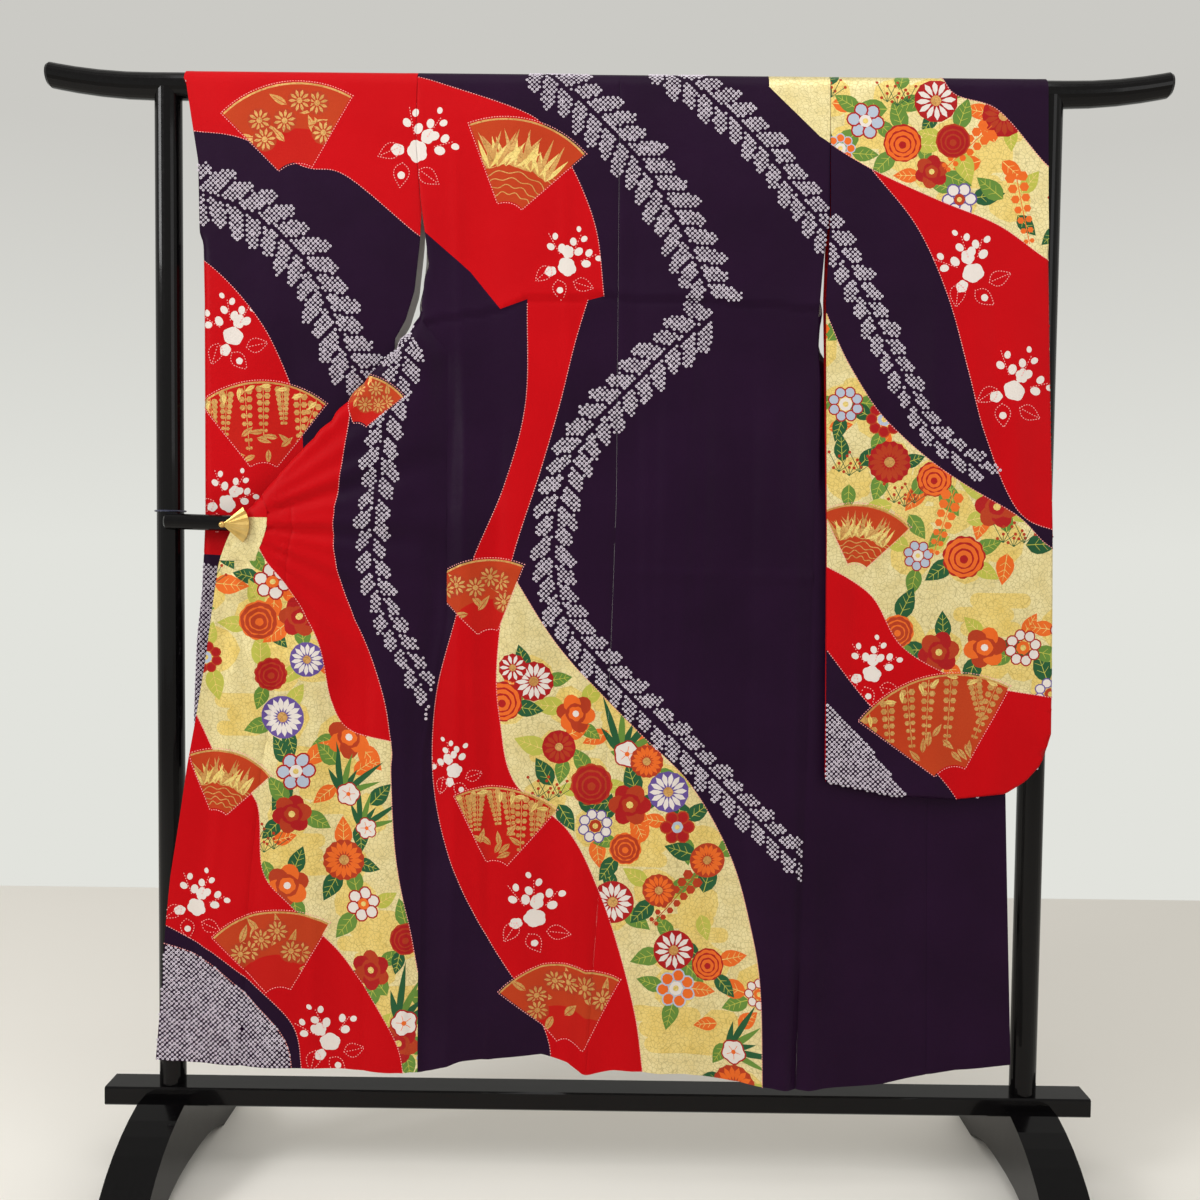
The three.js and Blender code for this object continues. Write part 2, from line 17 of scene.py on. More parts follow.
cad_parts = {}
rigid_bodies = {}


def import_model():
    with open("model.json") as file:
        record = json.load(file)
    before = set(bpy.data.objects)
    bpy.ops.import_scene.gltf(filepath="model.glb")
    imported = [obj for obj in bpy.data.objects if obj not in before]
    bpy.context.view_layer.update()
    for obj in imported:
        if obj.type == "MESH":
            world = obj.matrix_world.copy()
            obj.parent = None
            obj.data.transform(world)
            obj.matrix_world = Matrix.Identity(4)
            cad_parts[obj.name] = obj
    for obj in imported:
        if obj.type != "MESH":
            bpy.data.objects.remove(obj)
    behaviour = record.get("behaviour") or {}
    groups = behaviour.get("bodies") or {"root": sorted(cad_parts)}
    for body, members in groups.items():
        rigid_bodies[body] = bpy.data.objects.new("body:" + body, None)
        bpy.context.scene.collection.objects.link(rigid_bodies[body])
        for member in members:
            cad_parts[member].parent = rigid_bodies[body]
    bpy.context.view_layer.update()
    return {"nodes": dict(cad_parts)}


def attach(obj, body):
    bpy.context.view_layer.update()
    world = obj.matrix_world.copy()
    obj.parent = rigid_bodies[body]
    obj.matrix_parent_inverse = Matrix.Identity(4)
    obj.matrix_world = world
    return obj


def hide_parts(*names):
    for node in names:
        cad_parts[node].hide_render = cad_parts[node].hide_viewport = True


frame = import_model()
rng = np.random.default_rng(20)
print("frame:", len(frame["nodes"]), "nodes")

# %% [markdown]
# ## The camera
# Set first, because every later choice is judged through it. It looks straight at the back of the garment
# from a little under two metres, tipped down by a few degrees.

# %% Camera
def aim(pitch, yaw, roll):
    a = Vector((math.cos(yaw), -math.sin(yaw), 0))
    b = Vector((math.sin(pitch) * math.sin(yaw), math.sin(pitch) * math.cos(yaw), math.cos(pitch)))
    ahead = Vector((math.cos(pitch) * math.sin(yaw), math.cos(pitch) * math.cos(yaw), -math.sin(pitch)))
    right = math.cos(roll) * a - math.sin(roll) * b
    up = math.sin(roll) * a + math.cos(roll) * b
    return Matrix((right, up, -ahead)).transposed()


lens = bpy.data.cameras.new("studio_camera")
lens.lens, lens.sensor_width, lens.clip_start = 36, 36, 0.05
camera = bpy.data.objects.new("studio_camera", lens)
camera.matrix_world = Matrix.Translation((0.0046, -1.922, 1.0295)) @ aim(0.045, -0.0045, -0.0112).to_4x4()
bpy.context.scene.collection.objects.link(camera)
bpy.context.scene.camera = camera

# %% [markdown]
# ## Dyed silk, foil and thread
# Silk satin is a smooth, tight weave: its colour is deep, its highlights broad and soft, and at arm's
# length the weave only just shows. One helper mixes a colour with a slightly lighter one through slow
# noise, adds the woven damask as fine bump along the cloth's own map, and sets the sheen. Gold foil is the
# same cloth with leaf pressed on it: partly metallic, crazed and uneven.

# %% Helpers for node materials
def plug(tree, node, inputs):
    """Gives a node its inputs, each a plain value or another node's socket."""
    for k, v in inputs.items():
        if isinstance(v, bpy.types.NodeSocket):
            tree.links.new(v, node.inputs[k])
        else:
            node.inputs[k].default_value = v


def adder(tree, prefix=""):
    """A function that puts a node into the tree, with its inputs and its settings."""

    def add(kind, inputs=None, **settings):
        n = tree.nodes.new(prefix + kind)
        for k, v in settings.items():
            setattr(n, k, v)
        plug(tree, n, inputs or {})
        return n

    return add


def nodes_of(name):
    mat = bpy.data.materials.new(name)
    mat.use_nodes = True
    tree = mat.node_tree
    tree.nodes.clear()
    out = tree.nodes.new("ShaderNodeOutputMaterial")
    shader = tree.nodes.new("ShaderNodeBsdfPrincipled")
    tree.links.new(shader.outputs[0], out.inputs[0])
    return mat, tree, shader, adder(tree, "ShaderNode")


def mixed(add, fac, a, b):
    """The colour socket of a mix of a and b."""
    return add("Mix", {0: fac, 6: a, 7: b}, data_type="RGBA").outputs[2]


def rgb(r, g, b):
    """A colour given in display values 0..255."""
    return (*[((c / 255 + 0.055) / 1.055) ** 2.4 if c > 10 else c / 255 / 12.92 for c in (r, g, b)], 1)


# %% Silk
def silk(name, base, light, rough=0.5, sheen=0.25, weave=0.25, map_name="cloth"):
    mat, tree, shader, add = nodes_of(name)
    uv = add("UVMap", uv_map=map_name).outputs[0] if map_name else add("TexCoord").outputs["Object"]
    slow = add("TexNoise", {"Vector": uv, "Scale": 7.0, "Detail": 3.0})
    fine = add("TexNoise", {"Vector": uv, "Scale": 420.0, "Detail": 2.0})
    tone = add("MapRange", {"Value": slow.outputs[0], "From Min": 0.3, "From Max": 0.72})
    grain = mixed(add, fine.outputs[0], base, light)
    colour = mixed(add, tone.outputs[0], base, grain)
    # damask: small keys in the weave, a few millimetres across, cut by the threads of the satin
    key = add("TexBrick", {"Vector": uv, "Scale": 110.0, "Mortar Size": 0.08, "Mortar Smooth": 0.6,
                           "Color1": (1, 1, 1, 1), "Color2": (0.6, 0.6, 0.6, 1), "Mortar": (0, 0, 0, 1)})
    thread = add("TexWave", {"Vector": uv, "Scale": 330.0, "Distortion": 0.6, "Detail": 1.0},
                 wave_type="BANDS", bands_direction="DIAGONAL")
    weft = mixed(add, 0.6, key.outputs["Color"], thread.outputs["Color"])
    crumple = add("TexNoise", {"Vector": uv, "Scale": 26.0, "Detail": 4.0, "Roughness": 0.55})
    b1 = add("Bump", {"Height": weft, "Strength": weave, "Distance": 0.0004})
    b2 = add("Bump", {"Height": crumple.outputs[0], "Strength": 0.25, "Distance": 0.004,
                      "Normal": b1.outputs[0]})
    worn = add("MapRange", {"Value": crumple.outputs[0], "To Min": rough - 0.06, "To Max": rough + 0.08})
    plug(tree, shader, {"Base Color": colour, "Normal": b2.outputs[0], "Roughness": worn.outputs[0],
                        "Sheen Weight": sheen, "Sheen Roughness": 0.4, "Specular IOR Level": 0.07})
    return mat


def foil(name, base, light, rough=0.42, metallic=0.55):
    mat, tree, shader, add = nodes_of(name)
    uv = add("UVMap", uv_map="cloth").outputs[0]
    craze = add("TexVoronoi", {"Vector": uv, "Scale": 160.0, "Randomness": 1.0}, feature="DISTANCE_TO_EDGE")
    crack = add("MapRange", {"Value": craze.outputs["Distance"], "From Max": 0.08})
    patch = add("TexNoise", {"Vector": uv, "Scale": 30.0, "Detail": 5.0, "Roughness": 0.6})
    patch2 = add("MapRange", {"Value": patch.outputs[0], "From Min": 0.35, "From Max": 0.65})
    colour = mixed(add, patch2.outputs[0], base, light)
    worn = mixed(add, crack.outputs[0], tuple(0.72 * c for c in base[:3]) + (1,), colour)
    b1 = add("Bump", {"Height": crack.outputs[0], "Strength": 0.35, "Distance": 0.0005})
    b2 = add("Bump", {"Height": patch.outputs[0], "Strength": 0.5, "Distance": 0.003, "Normal": b1.outputs[0]})
    r = add("MapRange", {"Value": patch.outputs[0], "To Min": rough - 0.1, "To Max": rough + 0.16})
    plug(tree, shader, {"Base Color": worn, "Normal": b2.outputs[0], "Roughness": r.outputs[0],
                        "Metallic": metallic})
    return mat


DYES = {
    "purple": silk("silk_aubergine", rgb(30, 9, 34), rgb(40, 15, 45), 0.44, 0.0),
    "red": silk("silk_red", rgb(184, 2, 12), rgb(198, 6, 16), 0.48, 0.0),
    "gold": foil("foil_pale_gold", rgb(226, 208, 146), rgb(236, 222, 168)),
    "mist": foil("foil_warm_mist", rgb(226, 196, 104), rgb(233, 209, 128), 0.5, 0.35),
    "white": silk("silk_resist_white", rgb(218, 209, 202), rgb(230, 222, 215), 0.6, 0.1),
    "fan": silk("brocade_brick", rgb(178, 54, 24), rgb(192, 74, 34), 0.5, 0.05),
    "fanred": silk("brocade_red", rgb(182, 20, 16), rgb(192, 36, 22), 0.5, 0.05),
    "thread": foil("thread_gold", rgb(198, 140, 72), rgb(216, 170, 100), 0.4, 0.6),
    "orange": silk("dye_orange", rgb(222, 96, 30), rgb(232, 122, 54)),
    "rust": silk("dye_rust", rgb(168, 52, 26), rgb(188, 74, 40)),
    "crimson": silk("dye_crimson", rgb(160, 20, 24), rgb(182, 40, 38)),
    "green": silk("dye_leaf_green", rgb(92, 128, 52), rgb(116, 150, 70)),
    "deep": silk("dye_deep_green", rgb(34, 82, 50), rgb(52, 100, 62)),
    "yellow": silk("dye_yellow_green", rgb(176, 176, 70), rgb(196, 192, 96)),
    "grey": silk("dye_blue_grey", rgb(168, 178, 196), rgb(190, 198, 210)),
    "lilac": silk("dye_lilac", rgb(92, 70, 140), rgb(118, 96, 160)),
    "pink": silk("stitch_pink", rgb(236, 140, 138), rgb(242, 166, 160), 0.6, 0.1),
    "lining": silk("lining_white", rgb(232, 228, 226), rgb(242, 240, 236), 0.6, 0.1, 0.1),
    "lining_red": silk("lining_red", rgb(190, 16, 24), rgb(205, 30, 32), 0.6, 0.1, 0.1),
}
DYE = list(DYES)
ID = {name: k for k, name in enumerate(DYE)}
print("dyes and foils:", len(DYE))

# %% [markdown]
# ## How the cloth hangs
# The shapes are short tables in millimetres: outline edges, how far each layer lies from the bar, and the
# soft folds that gravity makes. They are the same tables as the frame's, so the cloth sits where the frame
# says.

# %% Sizes and small maths
BAR_Z, RB = 1745, 23  # the bar's middle line, and the cloth's radius round it
CREST = BAR_Z + RB  # top of the cloth on the bar
HEM_Z = 200  # where the maps of body and fronts end
UNDERARM, CUFF = 1388, 1530  # top of the side seams, foot of the cuff openings
KENSAKI, COLLAR_END = 1540, 1000  # upper point of the overlap panels, lower end of the collar
CLIP = 1085  # where the turned-back edge runs out
CLIP_X, CLIP_Z = -588, 1056  # middle of the clip
COLLAR_W, NECK, MID = 55, 90, 18  # collar width, half the neck opening, the centre back at the bar
PANEL_SHARE = {"left": 0.68, "right": 0.61}  # share of a front's width at the hem that the body length takes
FAR_TOP_X = 664  # outer top corner of the right sleeve's far layer
SIGN = {"left": -1, "right": 1}
OVER = math.pi * RB  # length of cloth over the bar
TOP = BAR_Z + OVER  # where the far side starts in a piece's own map


def table(rows, p):
    a = np.array(rows, float)
    return np.interp(p, a[:, 0], a[:, 1])


def lerp(a, b, t):
    return a + (b - a) * t


def soft(t):
    t = np.clip(t, 0, 1)
    return t * t * (3 - 2 * t)


def bump(d, w):
    return np.exp(-((d / w) ** 2))


HEM = [(-706, 206), (-588, 198), (-331, 192), (-275, 193), (-217, 213), (-88, 224), (-48, 213), (-21, 191),
       (24, 200), (143, 197), (263, 178), (334, 172), (454, 182), (568, 205), (656, 214)]
CENTRE = [(200, -18), (629, 8), (1101, 20), (1768, MID)]
SIDE = {
    "left": [(197, -285), (700, -285), (785, -267), (911, -243), (1330, -246), (1372, -282), (1400, -287),
             (1445, -282),
             (1463, -276), (1500, -281), (1563, -290), (1654, -298), (1768, -297)],
    "right": [(188, 315), (473, 318), (633, 323), (949, 328), (1388, 331), (1415, 333), (1500, 340),
              (1548, 347), (1768, 345)]}
OUT = {
    "left": [(200, -702), (322, -691), (466, -682), (593, -661), (719, -642), (814, -621), (876, -615),
             (939, -605),
             (1001, -596), (1032, -588), (1085, -555), (1180, -470), (1293, -370), (1347, -324), (1388, -291)],
    "right": [(200, 656), (651, 636), (900, 626), (1061, 612), (1085, 600), (1180, 500), (1293, 385),
              (1340, 338.5), (1388, 336)]}
SLEEVE = {
    "left": dict(
        inner=[(641, -342), (1200, -338), (1351, -330), (1379, -314), (1425, -300), (1500, -292),
               (1548, -289.5), (1563, -291.5), (1654, -299), (1768, -298)],
        outer=[(641, -653), (764, -653), (874, -649), (953, -641), (1071, -636), (1407, -634), (1622, -638),
               (1768, -661)],
        foot=[(-653, 738), (-640, 702), (-615, 668), (-580, 648), (-500, 641), (-342, 655)],
        near=[(641, -27), (900, -21), (1030, -18.6), (1100, -19), (1388, -27), (1690, -25), (1745, -RB)],
        far=[(641, 10), (900, 18), (1388, 25), (1745, RB)]),
    "right": dict(
        inner=[(665, 351), (1105, 345), (1416, 341.5), (1500, 345), (1548, 348), (1768, 346)],
        outer=[(755, 700), (952, 697), (1265, 690), (1574, 684), (1768, 683)],
        foot=[(351, 665), (451, 645), (554, 641), (631, 650), (662, 670), (686, 698), (700, 745)],
        near=[(641, -69), (1061, -66), (1388, -45), (1650, -29), (1745, -RB)],
        far=[(641, -58), (1061, -57), (1225, -38), (1388, -18), (1538, 1), (1745, RB)])}
BACK_Y = [(200, -58), (500, -56), (1080, -52), (1390, -38), (1690, -26), (1745, -RB)]
TUCK = [(-300, 1372), (-164, 1395), (-122, 1412), (-3, 1418), (200, 1410), (340, 1400)]
FOLDS = [  # x at the top, x at the foot, top, foot, half width, height towards us
    (-200, -232, 1340, 250, 26, 5), (-247, -266, 1330, 700, 15, -7), (-120, -150, 1250, 300, 40, 4),
    (-60, -84, 1100, 200, 30, -4), (60, 30, 1690, 700, 34, -3), (120, 96, 1660, 200, 46, 4),
         (205, 190, 1500, 200, 40, -3),
    (268, 262, 1380, 200, 26, 4), (330, 340, 620, 190, 18, 6), (420, 430, 700, 190, 36, 4),
         (500, 505, 700, 190, 30, -3),
    (590, 600, 700, 200, 34, 4), (-470, -520, 900, 200, 40, 5), (-400, -410, 1000, 200, 30, -5),
         (-330, -335, 980, 230, 30, 5),
    (-600, -640, 900, 220, 26, -4), (-200, -190, 1700, 1420, 34, -3), (250, 262, 1700, 1420, 30, 3)]
CREASES = [  # finer ones, on the cloth alone
    (-214, -236, 1330, 300, 7, 1.8), (-160, -176, 1300, 500, 9, -1.3), (-30, -44, 1390, 400, 8, 1.2),
           (84, 70, 1390, 300, 9, -1.2),
    (160, 150, 1400, 260, 10, 1.3), (232, 226, 1390, 250, 8, -1.2), (300, 306, 1390, 240, 8, 1.6),
           (-70, -60, 1700, 1425, 9, 1.1),
    (40, 46, 1720, 1425, 8, -1), (150, 140, 1730, 1425, 10, 1.2), (-240, -228, 1720, 1440, 8, 1.3),
           (-560, -640, 960, 240, 9, 1.6),
    (-500, -560, 1000, 260, 10, -1.5), (-440, -455, 1020, 230, 9, 1.4), (-365, -372, 1000, 240, 8, -1.4),
           (-310, -306, 900, 230, 7, 1.4)]


def folds(x, z, rows=FOLDS):
    d = 0.0
    for xt, xf, top, foot, w, a in rows:
        t = (top - z) / (top - foot)
        d = d + np.where(t > 0, a * soft(t * 4) * bump(x - lerp(xt, xf, t), w), 0)
    return d


def hem_rise(x, z):
    return z + (table(HEM, x) - HEM_Z) * (1 - soft((z - HEM_Z) / 300))


# %% [markdown]
# ### The drawn-out front
# Seen from above, a front is a line: from the side seam outwards to the clip, round its turned edge and,
# higher up, back through the opening under the sleeve to the far side. The line is worked out at a few
# heights and blended between them, then read by distance from the side seam.

# %% Plan-view line of a front
LEN = [(200, 420), (CLIP, 0), (1130, 70), (1180, 136), (1240, 200), (1293, 256), (1347, 312), (1388, 358)]


def front_line(side, z):
    s = SIGN[side]
    T = lambda rows, p=z: float(table(rows, p))
    xs, xo, yb = T(SIDE[side]) + s * 0.5, T(OUT[side]), T(BACK_Y)
    far = RB + 1 if side == "left" else T([(1085, -32), (1180, -12), (1388, RB + 1)])
    if z >= UNDERARM:
        t = float(soft((z - UNDERARM) / 70))
        xa = lerp(-290.5 if side == "left" else 337.5, T(SIDE[side]) + s * 0.4, float(soft((z - 1450) / 80)))
        y0 = lerp(yb, far, t)
        free = MID + s * T([(1388, 6), (1540, 26), (1700, 34), (CREST, NECK - COLLAR_W)])
        return [(xa, y0), (xa, lerp(y0, far - 4, 0.9)), (xa - s * 4, far), (free, far + 2)]
    if z >= CLIP:
        rest, edge = T(LEN) * (1 if side == "left" else 0.87), float(soft((UNDERARM - z) / 48))
        yo = yb - 2 - 8 * edge if side == "left" else lerp(yb, T([(1085, -51), (1180, -33), (1388, -2)]), edge)
        yi = yo + (19 if side == "left" else 18)
        r = min(9.5, abs(xo - xs) * 0.5)
        pts = [(xs, yb), (lerp(xs, xo, 0.25), lerp(yb, yo, 0.8))] if side == "left" else [(xs, yb),
                (xs + 3 * edge, lerp(yb, yo, 0.5)), (min(xs + 6, xo - r), yo)]
        for a in range(-90, 91, 15):
            w = math.radians(a)
            pts.append((xo - s * r * (1 - math.cos(w)), (yo + yi) / 2 + (yi - yo) / 2 * math.sin(w)))
        x = xo - s * r
        if side == "left":
            gate, room = T([(1347, -303), (1388, -292)]), rest
            run = min(room, max(0, gate - x))
            pts.append((x + run, yi + run * 0.01))
            room -= run
            if room > 1:
                deep = min(room, far - yi)
                pts.append((gate + 5, lerp(yi, far, deep / (far - yi))))
                room -= deep
                if room > 1:
                    pts += [(gate + 9, far), (gate + 9 + room, far + 2)]
        else:
            pts += [(x - rest * 0.5, lerp(yi, max(yi, far), 0.5)), (x - rest, max(yi, far))]
        return pts
    yo = T([(200, -52), (700, -58), (1085, -62)]) if side == "left" else T([(200, -49), (1085, -51)])
    return [(xs, yb), (lerp(xs, xo, 0.12), lerp(yb, yo, 0.5)), (lerp(xs, xo, 0.5), yo), (xo, yo)]


STEPS = 161  # points along each line
ROW_STEP = 7.5  # height between two lines
ROWS = sorted({1745, 1700, 1630, 1542, 1540, 1480, 1450, 1425, 1405, 1388, 1368, 1347, 1320, 1293, 1265, 1235,
               1205, 1180,
               *np.linspace(1163, 1097, 12).round(2).tolist(), CLIP, 1050, 1000, 930, 850, 760, 680, 590, 500,
               410, 330, 260, 200})


def shares(side, z, length):
    """Where the overlap seam and the collar's edge stand on a front's line, as shares of its length."""
    collar = np.where(z > COLLAR_END, np.minimum(COLLAR_W / length, 0.3), 0)
    wide = lerp(PANEL_SHARE[side], 1 - COLLAR_W / length, np.clip((z - 900) / (KENSAKI - 900), 0, 1))
    main = np.where(z > KENSAKI, 1 - collar, np.minimum(wide, 1 - collar - 6 / length))
    return main, 1 - collar


def front_net(side):
    """Rows of points along the line at each height, with its whole length and the share of the panel."""
    s = SIGN[side]
    pts, info = [], []
    for z in ROWS:
        p = np.array(front_line(side, min(z, 1700)))
        seg = np.hypot(*np.diff(p, axis=0).T)
        at = np.concatenate([[0], np.cumsum(seg)])
        t = np.linspace(0, at[-1], STEPS)
        xy = np.stack([np.interp(t, at, p[:, 0]), np.interp(t, at, p[:, 1])], 1)
        main, rim = (float(v) for v in shares(side, z, at[-1]))
        if z > 1700:  # the row that lies against the bar
            k = np.clip(np.linspace(0, 1, STEPS) / main, 0, 1)
            x = lerp(float(table(SIDE[side], CREST)), MID + s * NECK, k)
            xy = np.stack([x, np.full(STEPS, float(RB))], 1)
        pts.append(xy)
        info.append((at[-1], main, rim))
    # the turned edge is rounded a little more between the worked rows
    fine_z = np.arange(HEM_Z, BAR_Z + 1, ROW_STEP)
    P = np.array(pts)
    fine = np.stack([np.stack([np.interp(fine_z, ROWS, P[:, j, k]) for j in range(STEPS)], 1)
                     for k in (0, 1)], 2)
    weights = np.array([1, 4, 6, 4, 1]) / 16.0
    pad = np.pad(fine, ((2, 2), (0, 0), (0, 0)), mode="edge")
    smooth = sum(w * pad[i:i + len(fine_z)] for i, w in enumerate(weights))
    keep = soft((np.abs(fine_z - HEM_Z) - 8) / 10)[:, None, None] * soft((1738 - fine_z) / 16)[:, None, None]
    length, main, _ = (np.interp(fine_z, ROWS, column) for column in np.array(info).T)
    return dict(s=s, z=fine_z, P=lerp(fine, smooth, keep), all=length, main=main,
                xs=table(SIDE[side], fine_z) + s * 0.5)


NET = {side: front_net(side) for side in ("left", "right")}


def front_at(side, X, z):
    """Where a point of a front's map lies in space. X is the side seam's x plus the distance along the line."""
    n = NET[side]
    t = np.clip((X - np.interp(z, n["z"], n["xs"])) * n["s"] / np.interp(z, n["z"], n["all"]), 0,
                1) * (STEPS - 1)
    r = np.clip((z - HEM_Z) / ROW_STEP, 0, len(n["z"]) - 1.001)
    i, j = r.astype(int), np.minimum(t.astype(int), STEPS - 2)
    a, b = (r - i)[:, None], (t - j)[:, None]
    P = n["P"]
    q = (P[i, j] * (1 - b) + P[i, j + 1] * b) * (1 - a) + (P[i + 1, j] * (1 - b) + P[i + 1, j + 1] * b) * a
    return q[:, 0], q[:, 1]


print("front lines ready:", {k: round(float(n["all"][0])) for k, n in NET.items()}, "mm wide at the hem")

# %% [markdown]
# ### From map to space
# One function a piece. Besides the large folds it adds what cloth does at each place: the groove beside a
# seam, the lap of the waist tuck, the storage crease across the back, the pull lines that fan out from the
# clip, and the roll of a folded edge.

# %% Hanging the pieces
def groove(d, depth=1.5, w=3.0):
    return depth * bump(d, w)


def side_valley(side, d, z):
    """The sewn side seam lies in a groove; where the left front is drawn out, a deep fold stands along it."""
    deep = soft((z - 820) / 200) * soft((1352 - z) / 50) * (1 - 0.9 * bump(z - CLIP_Z, 34))
    strength = 1 if side == "left" else 0.25
    return groove(d, 1.2) + (3.2 * bump(d, 17) - 1.0 * bump(d - 36, 22)) * deep * strength


def surface_back(side, X, V):
    """The back length, over the bar and down to where the front starts."""
    s = SIGN[side]
    near = V <= BAR_Z
    z = np.minimum(V, BAR_Z)
    side0, mid = table(SIDE[side], z), table(CENTRE, z) + s * 0.15
    y = table(BACK_Y, z)
    ease = soft(np.abs(X - side0) / 14) * soft((BAR_Z - z) / 200)
    y = y - (folds(X, z) + 1.6 * folds(X, z, CREASES)) * ease
    lap = z - table(TUCK, X)
    y = y - np.where(lap > 0, 3.4 * np.exp(-lap / 26), 0) * soft(lap / 1.5) + 1.6 * bump(lap + 3, 4.0)
    y = y - 2.2 * bump(z - (990 - 0.02 * X), 7) * soft((X + 200) / 60) * (0.4 + 0.6 * np.sin(X / 60.0) ** 2)
    y = y + groove(X - mid) + side_valley(side, X - side0, z)
    # the narrow triangle of loose cloth at the foot of the right side seam
    if side == "right":
        k = soft((430 - z) / 250)
        y = y - 7 * k * bump(X - lerp(300, 292, k), 5 + 9 * k) + 4 * k * bump(X - lerp(318, 312, k), 6)
    w = np.clip((V - BAR_Z) / OVER, 0, 1) * math.pi - math.pi / 2
    return (X, np.where(near, y, RB * np.sin(w)), np.where(near, hem_rise(X, z), BAR_Z + RB * np.cos(w)))


def surface_front(side, X, z):
    n = NET[side]
    x, y = front_at(side, X, z)
    from_seam = X - np.interp(z, n["z"], n["xs"])
    side0 = table(SIDE[side], z)
    sewn = (1 - soft(np.abs(from_seam) / np.clip(0.4 * np.abs(table(OUT[side], z) - side0), 2,
                                                 24))) * (z < UNDERARM + 1)
    x, y = lerp(x, side0 + from_seam, sewn), lerp(y, table(BACK_Y, z), sewn)
    lower = soft((CLIP - z) / 160) * (1 - sewn)
    y = y - (folds(x, z) + 1.5 * folds(x, z, CREASES)) * lower * (1.0 if side == "left" else 0.6)
    seam = np.interp(z, n["z"], n["xs"] + n["s"] * n["all"] * n["main"])
    y = y + groove(X - seam, 1.2) * np.where(z < CLIP, 1, 0)
    y = y + side_valley(side, from_seam, z) * np.where(z < UNDERARM + 1, 1, 0)
    if side == "left":  # pull lines from the clip up into the gathered cloth, and soft swags below it
        dx, dz = x - CLIP_X, z - CLIP_Z
        a, r = np.arctan2(dz, dx), np.hypot(dx, dz)
        near = np.interp(z, n["z"], np.abs(n["xs"] - CLIP_X))
        out = soft((r - 30) / 60) * soft((420 - r) / 200) * np.where(np.abs(X - x) < 40, 1,
                0) * soft((z - 700) / 200)
        edge = soft((x - np.interp(z, n["z"], table(OUT["left"], n["z"])) - 6) / 26)
        y = y - out * edge * (3.4 * np.sin(a * 17) * (0.6 + 0.4 * np.sin(a * 5 + 1)) + 1.8
                              * np.sin(a * 33 + 1)) * soft((1350 - z) / 60)
        y = y - 2.6 * np.sin((r - 40) / 26.0) * bump(a + 1.25,
                                                     0.55) * soft((r - 50) / 60) * soft((520 - r) / 200) * edge
    return x, y, np.where(z > 1700, z, hem_rise(x, z))


def surface_sleeve(side, X, V):
    S, s = SLEEVE[side], SIGN[side]
    over = (V > BAR_Z) & (V < TOP)
    far = V >= TOP
    z = np.where(far, BAR_Z + TOP - V, np.minimum(V, BAR_Z))
    inner, outer = table(S["inner"], z), table(S["outer"], z)
    foot = table(S["foot"], X) if s > 0 else table(sorted(S["foot"]), X)
    c = np.clip((X - inner) / (outer - inner), 0, 1)
    yn, yf = table(S["near"], z), table(S["far"], z)
    ripple = soft((1600 - z) / 400) * soft((np.abs(X - inner) - 6) / 30)
    wave = ripple * (2.2 * np.sin(X / 27 + z / 310) + 1.6 * np.sin(X / 14.5 - z / 240) + 0.5
                     * np.sin(X / 7.3 + z / 150 + 1))
    yn = yn - (0.9 if side == "right" else 0.35) * wave
    if side == "left":  # the crossbar presses the hanging sleeve in, and the cloth swells above and below it
        yn = yn - 1.6 * bump(z - 1120, 30) * soft((X + 650) / 40)
    x = X.copy()
    xf, yfar = X.copy(), yf + 0.3 * wave
    if side == "right":
        swing, edge = soft((CUFF + 50 - z) / 110), np.clip((c - 0.6) / 0.4, 0, 1)
        xin = np.where(X < 636, X, lerp(636, 660, (X - 636) / (outer - 636)))
        q = swing * edge
        yfar = lerp(yfar, np.minimum(yfar, table(S["near"], z) + 9), soft(q * 1.35))
        xf = lerp(xin, X - 2 * edge, soft((q - 0.72) / 0.28))
    # folded foot and sewn outer edge: both layers roll in to a common line
    gap = np.abs(yfar - yn)
    e = np.minimum(z - foot, np.where(z < CUFF - 15, np.abs(outer - X), 1e3))
    roll = np.clip(np.minimum(gap * 0.5, 12), 3, 12)
    k = np.clip(e / roll, 0, 1)
    k = np.sqrt(np.clip(1 - (1 - k) ** 2, 0, 1))
    cuff_end = soft((z - (CUFF - 40)) / 25)  # the sewn edge opens into the cuff
    k = np.where(e == z - foot, k, lerp(k, 1, cuff_end))
    plain, swung = table(S["near"], z), table(S["far"], z)
    mid = (plain + (np.minimum(swung, plain + 9) if side == "right" else swung)) / 2
    footline = (z - foot) < 14
    mid = np.where(footline & (c < 0.9), (plain + swung) / 2, mid)
    y = np.where(far, lerp(mid, yfar, k), lerp(mid, yn, k))
    x = np.where(far, lerp(X, xf, k), X)
    w = np.clip((V - BAR_Z) / OVER, 0, 1) * math.pi - math.pi / 2
    outbar = table(S["outer"], CREST)
    cut = lerp(outbar, FAR_TOP_X, soft((w + 0.2) / 1.2)) if side == "right" else outbar
    xb = lerp(table(S["inner"], CREST), cut, np.clip((X - inner) / (table(S["outer"], BAR_Z) - inner), 0, 1))
    x = np.where(over, xb, x)
    if side == "right":  # ease the far layer's top from the bar's cut to its own line
        t = soft((z - 1640) / 105) * far
        x = lerp(x, lerp(table(S["inner"], CREST), FAR_TOP_X, c), t)
    return x, np.where(over, RB * np.sin(w), y), np.where(over, BAR_Z + RB * np.cos(w), z)

# %% [markdown]
# ## Cutting the design into the cloth
# Painted and embroidered areas have clean edges, so they are real edges of the mesh: a constrained Delaunay
# triangulation takes the piece's outline, an even grid of points, and every motif as a closed line, and
# returns triangles that know which lines hold them. The last motif laid down wins. A motif can be kept
# inside another, as gold flowers are inside their fan.

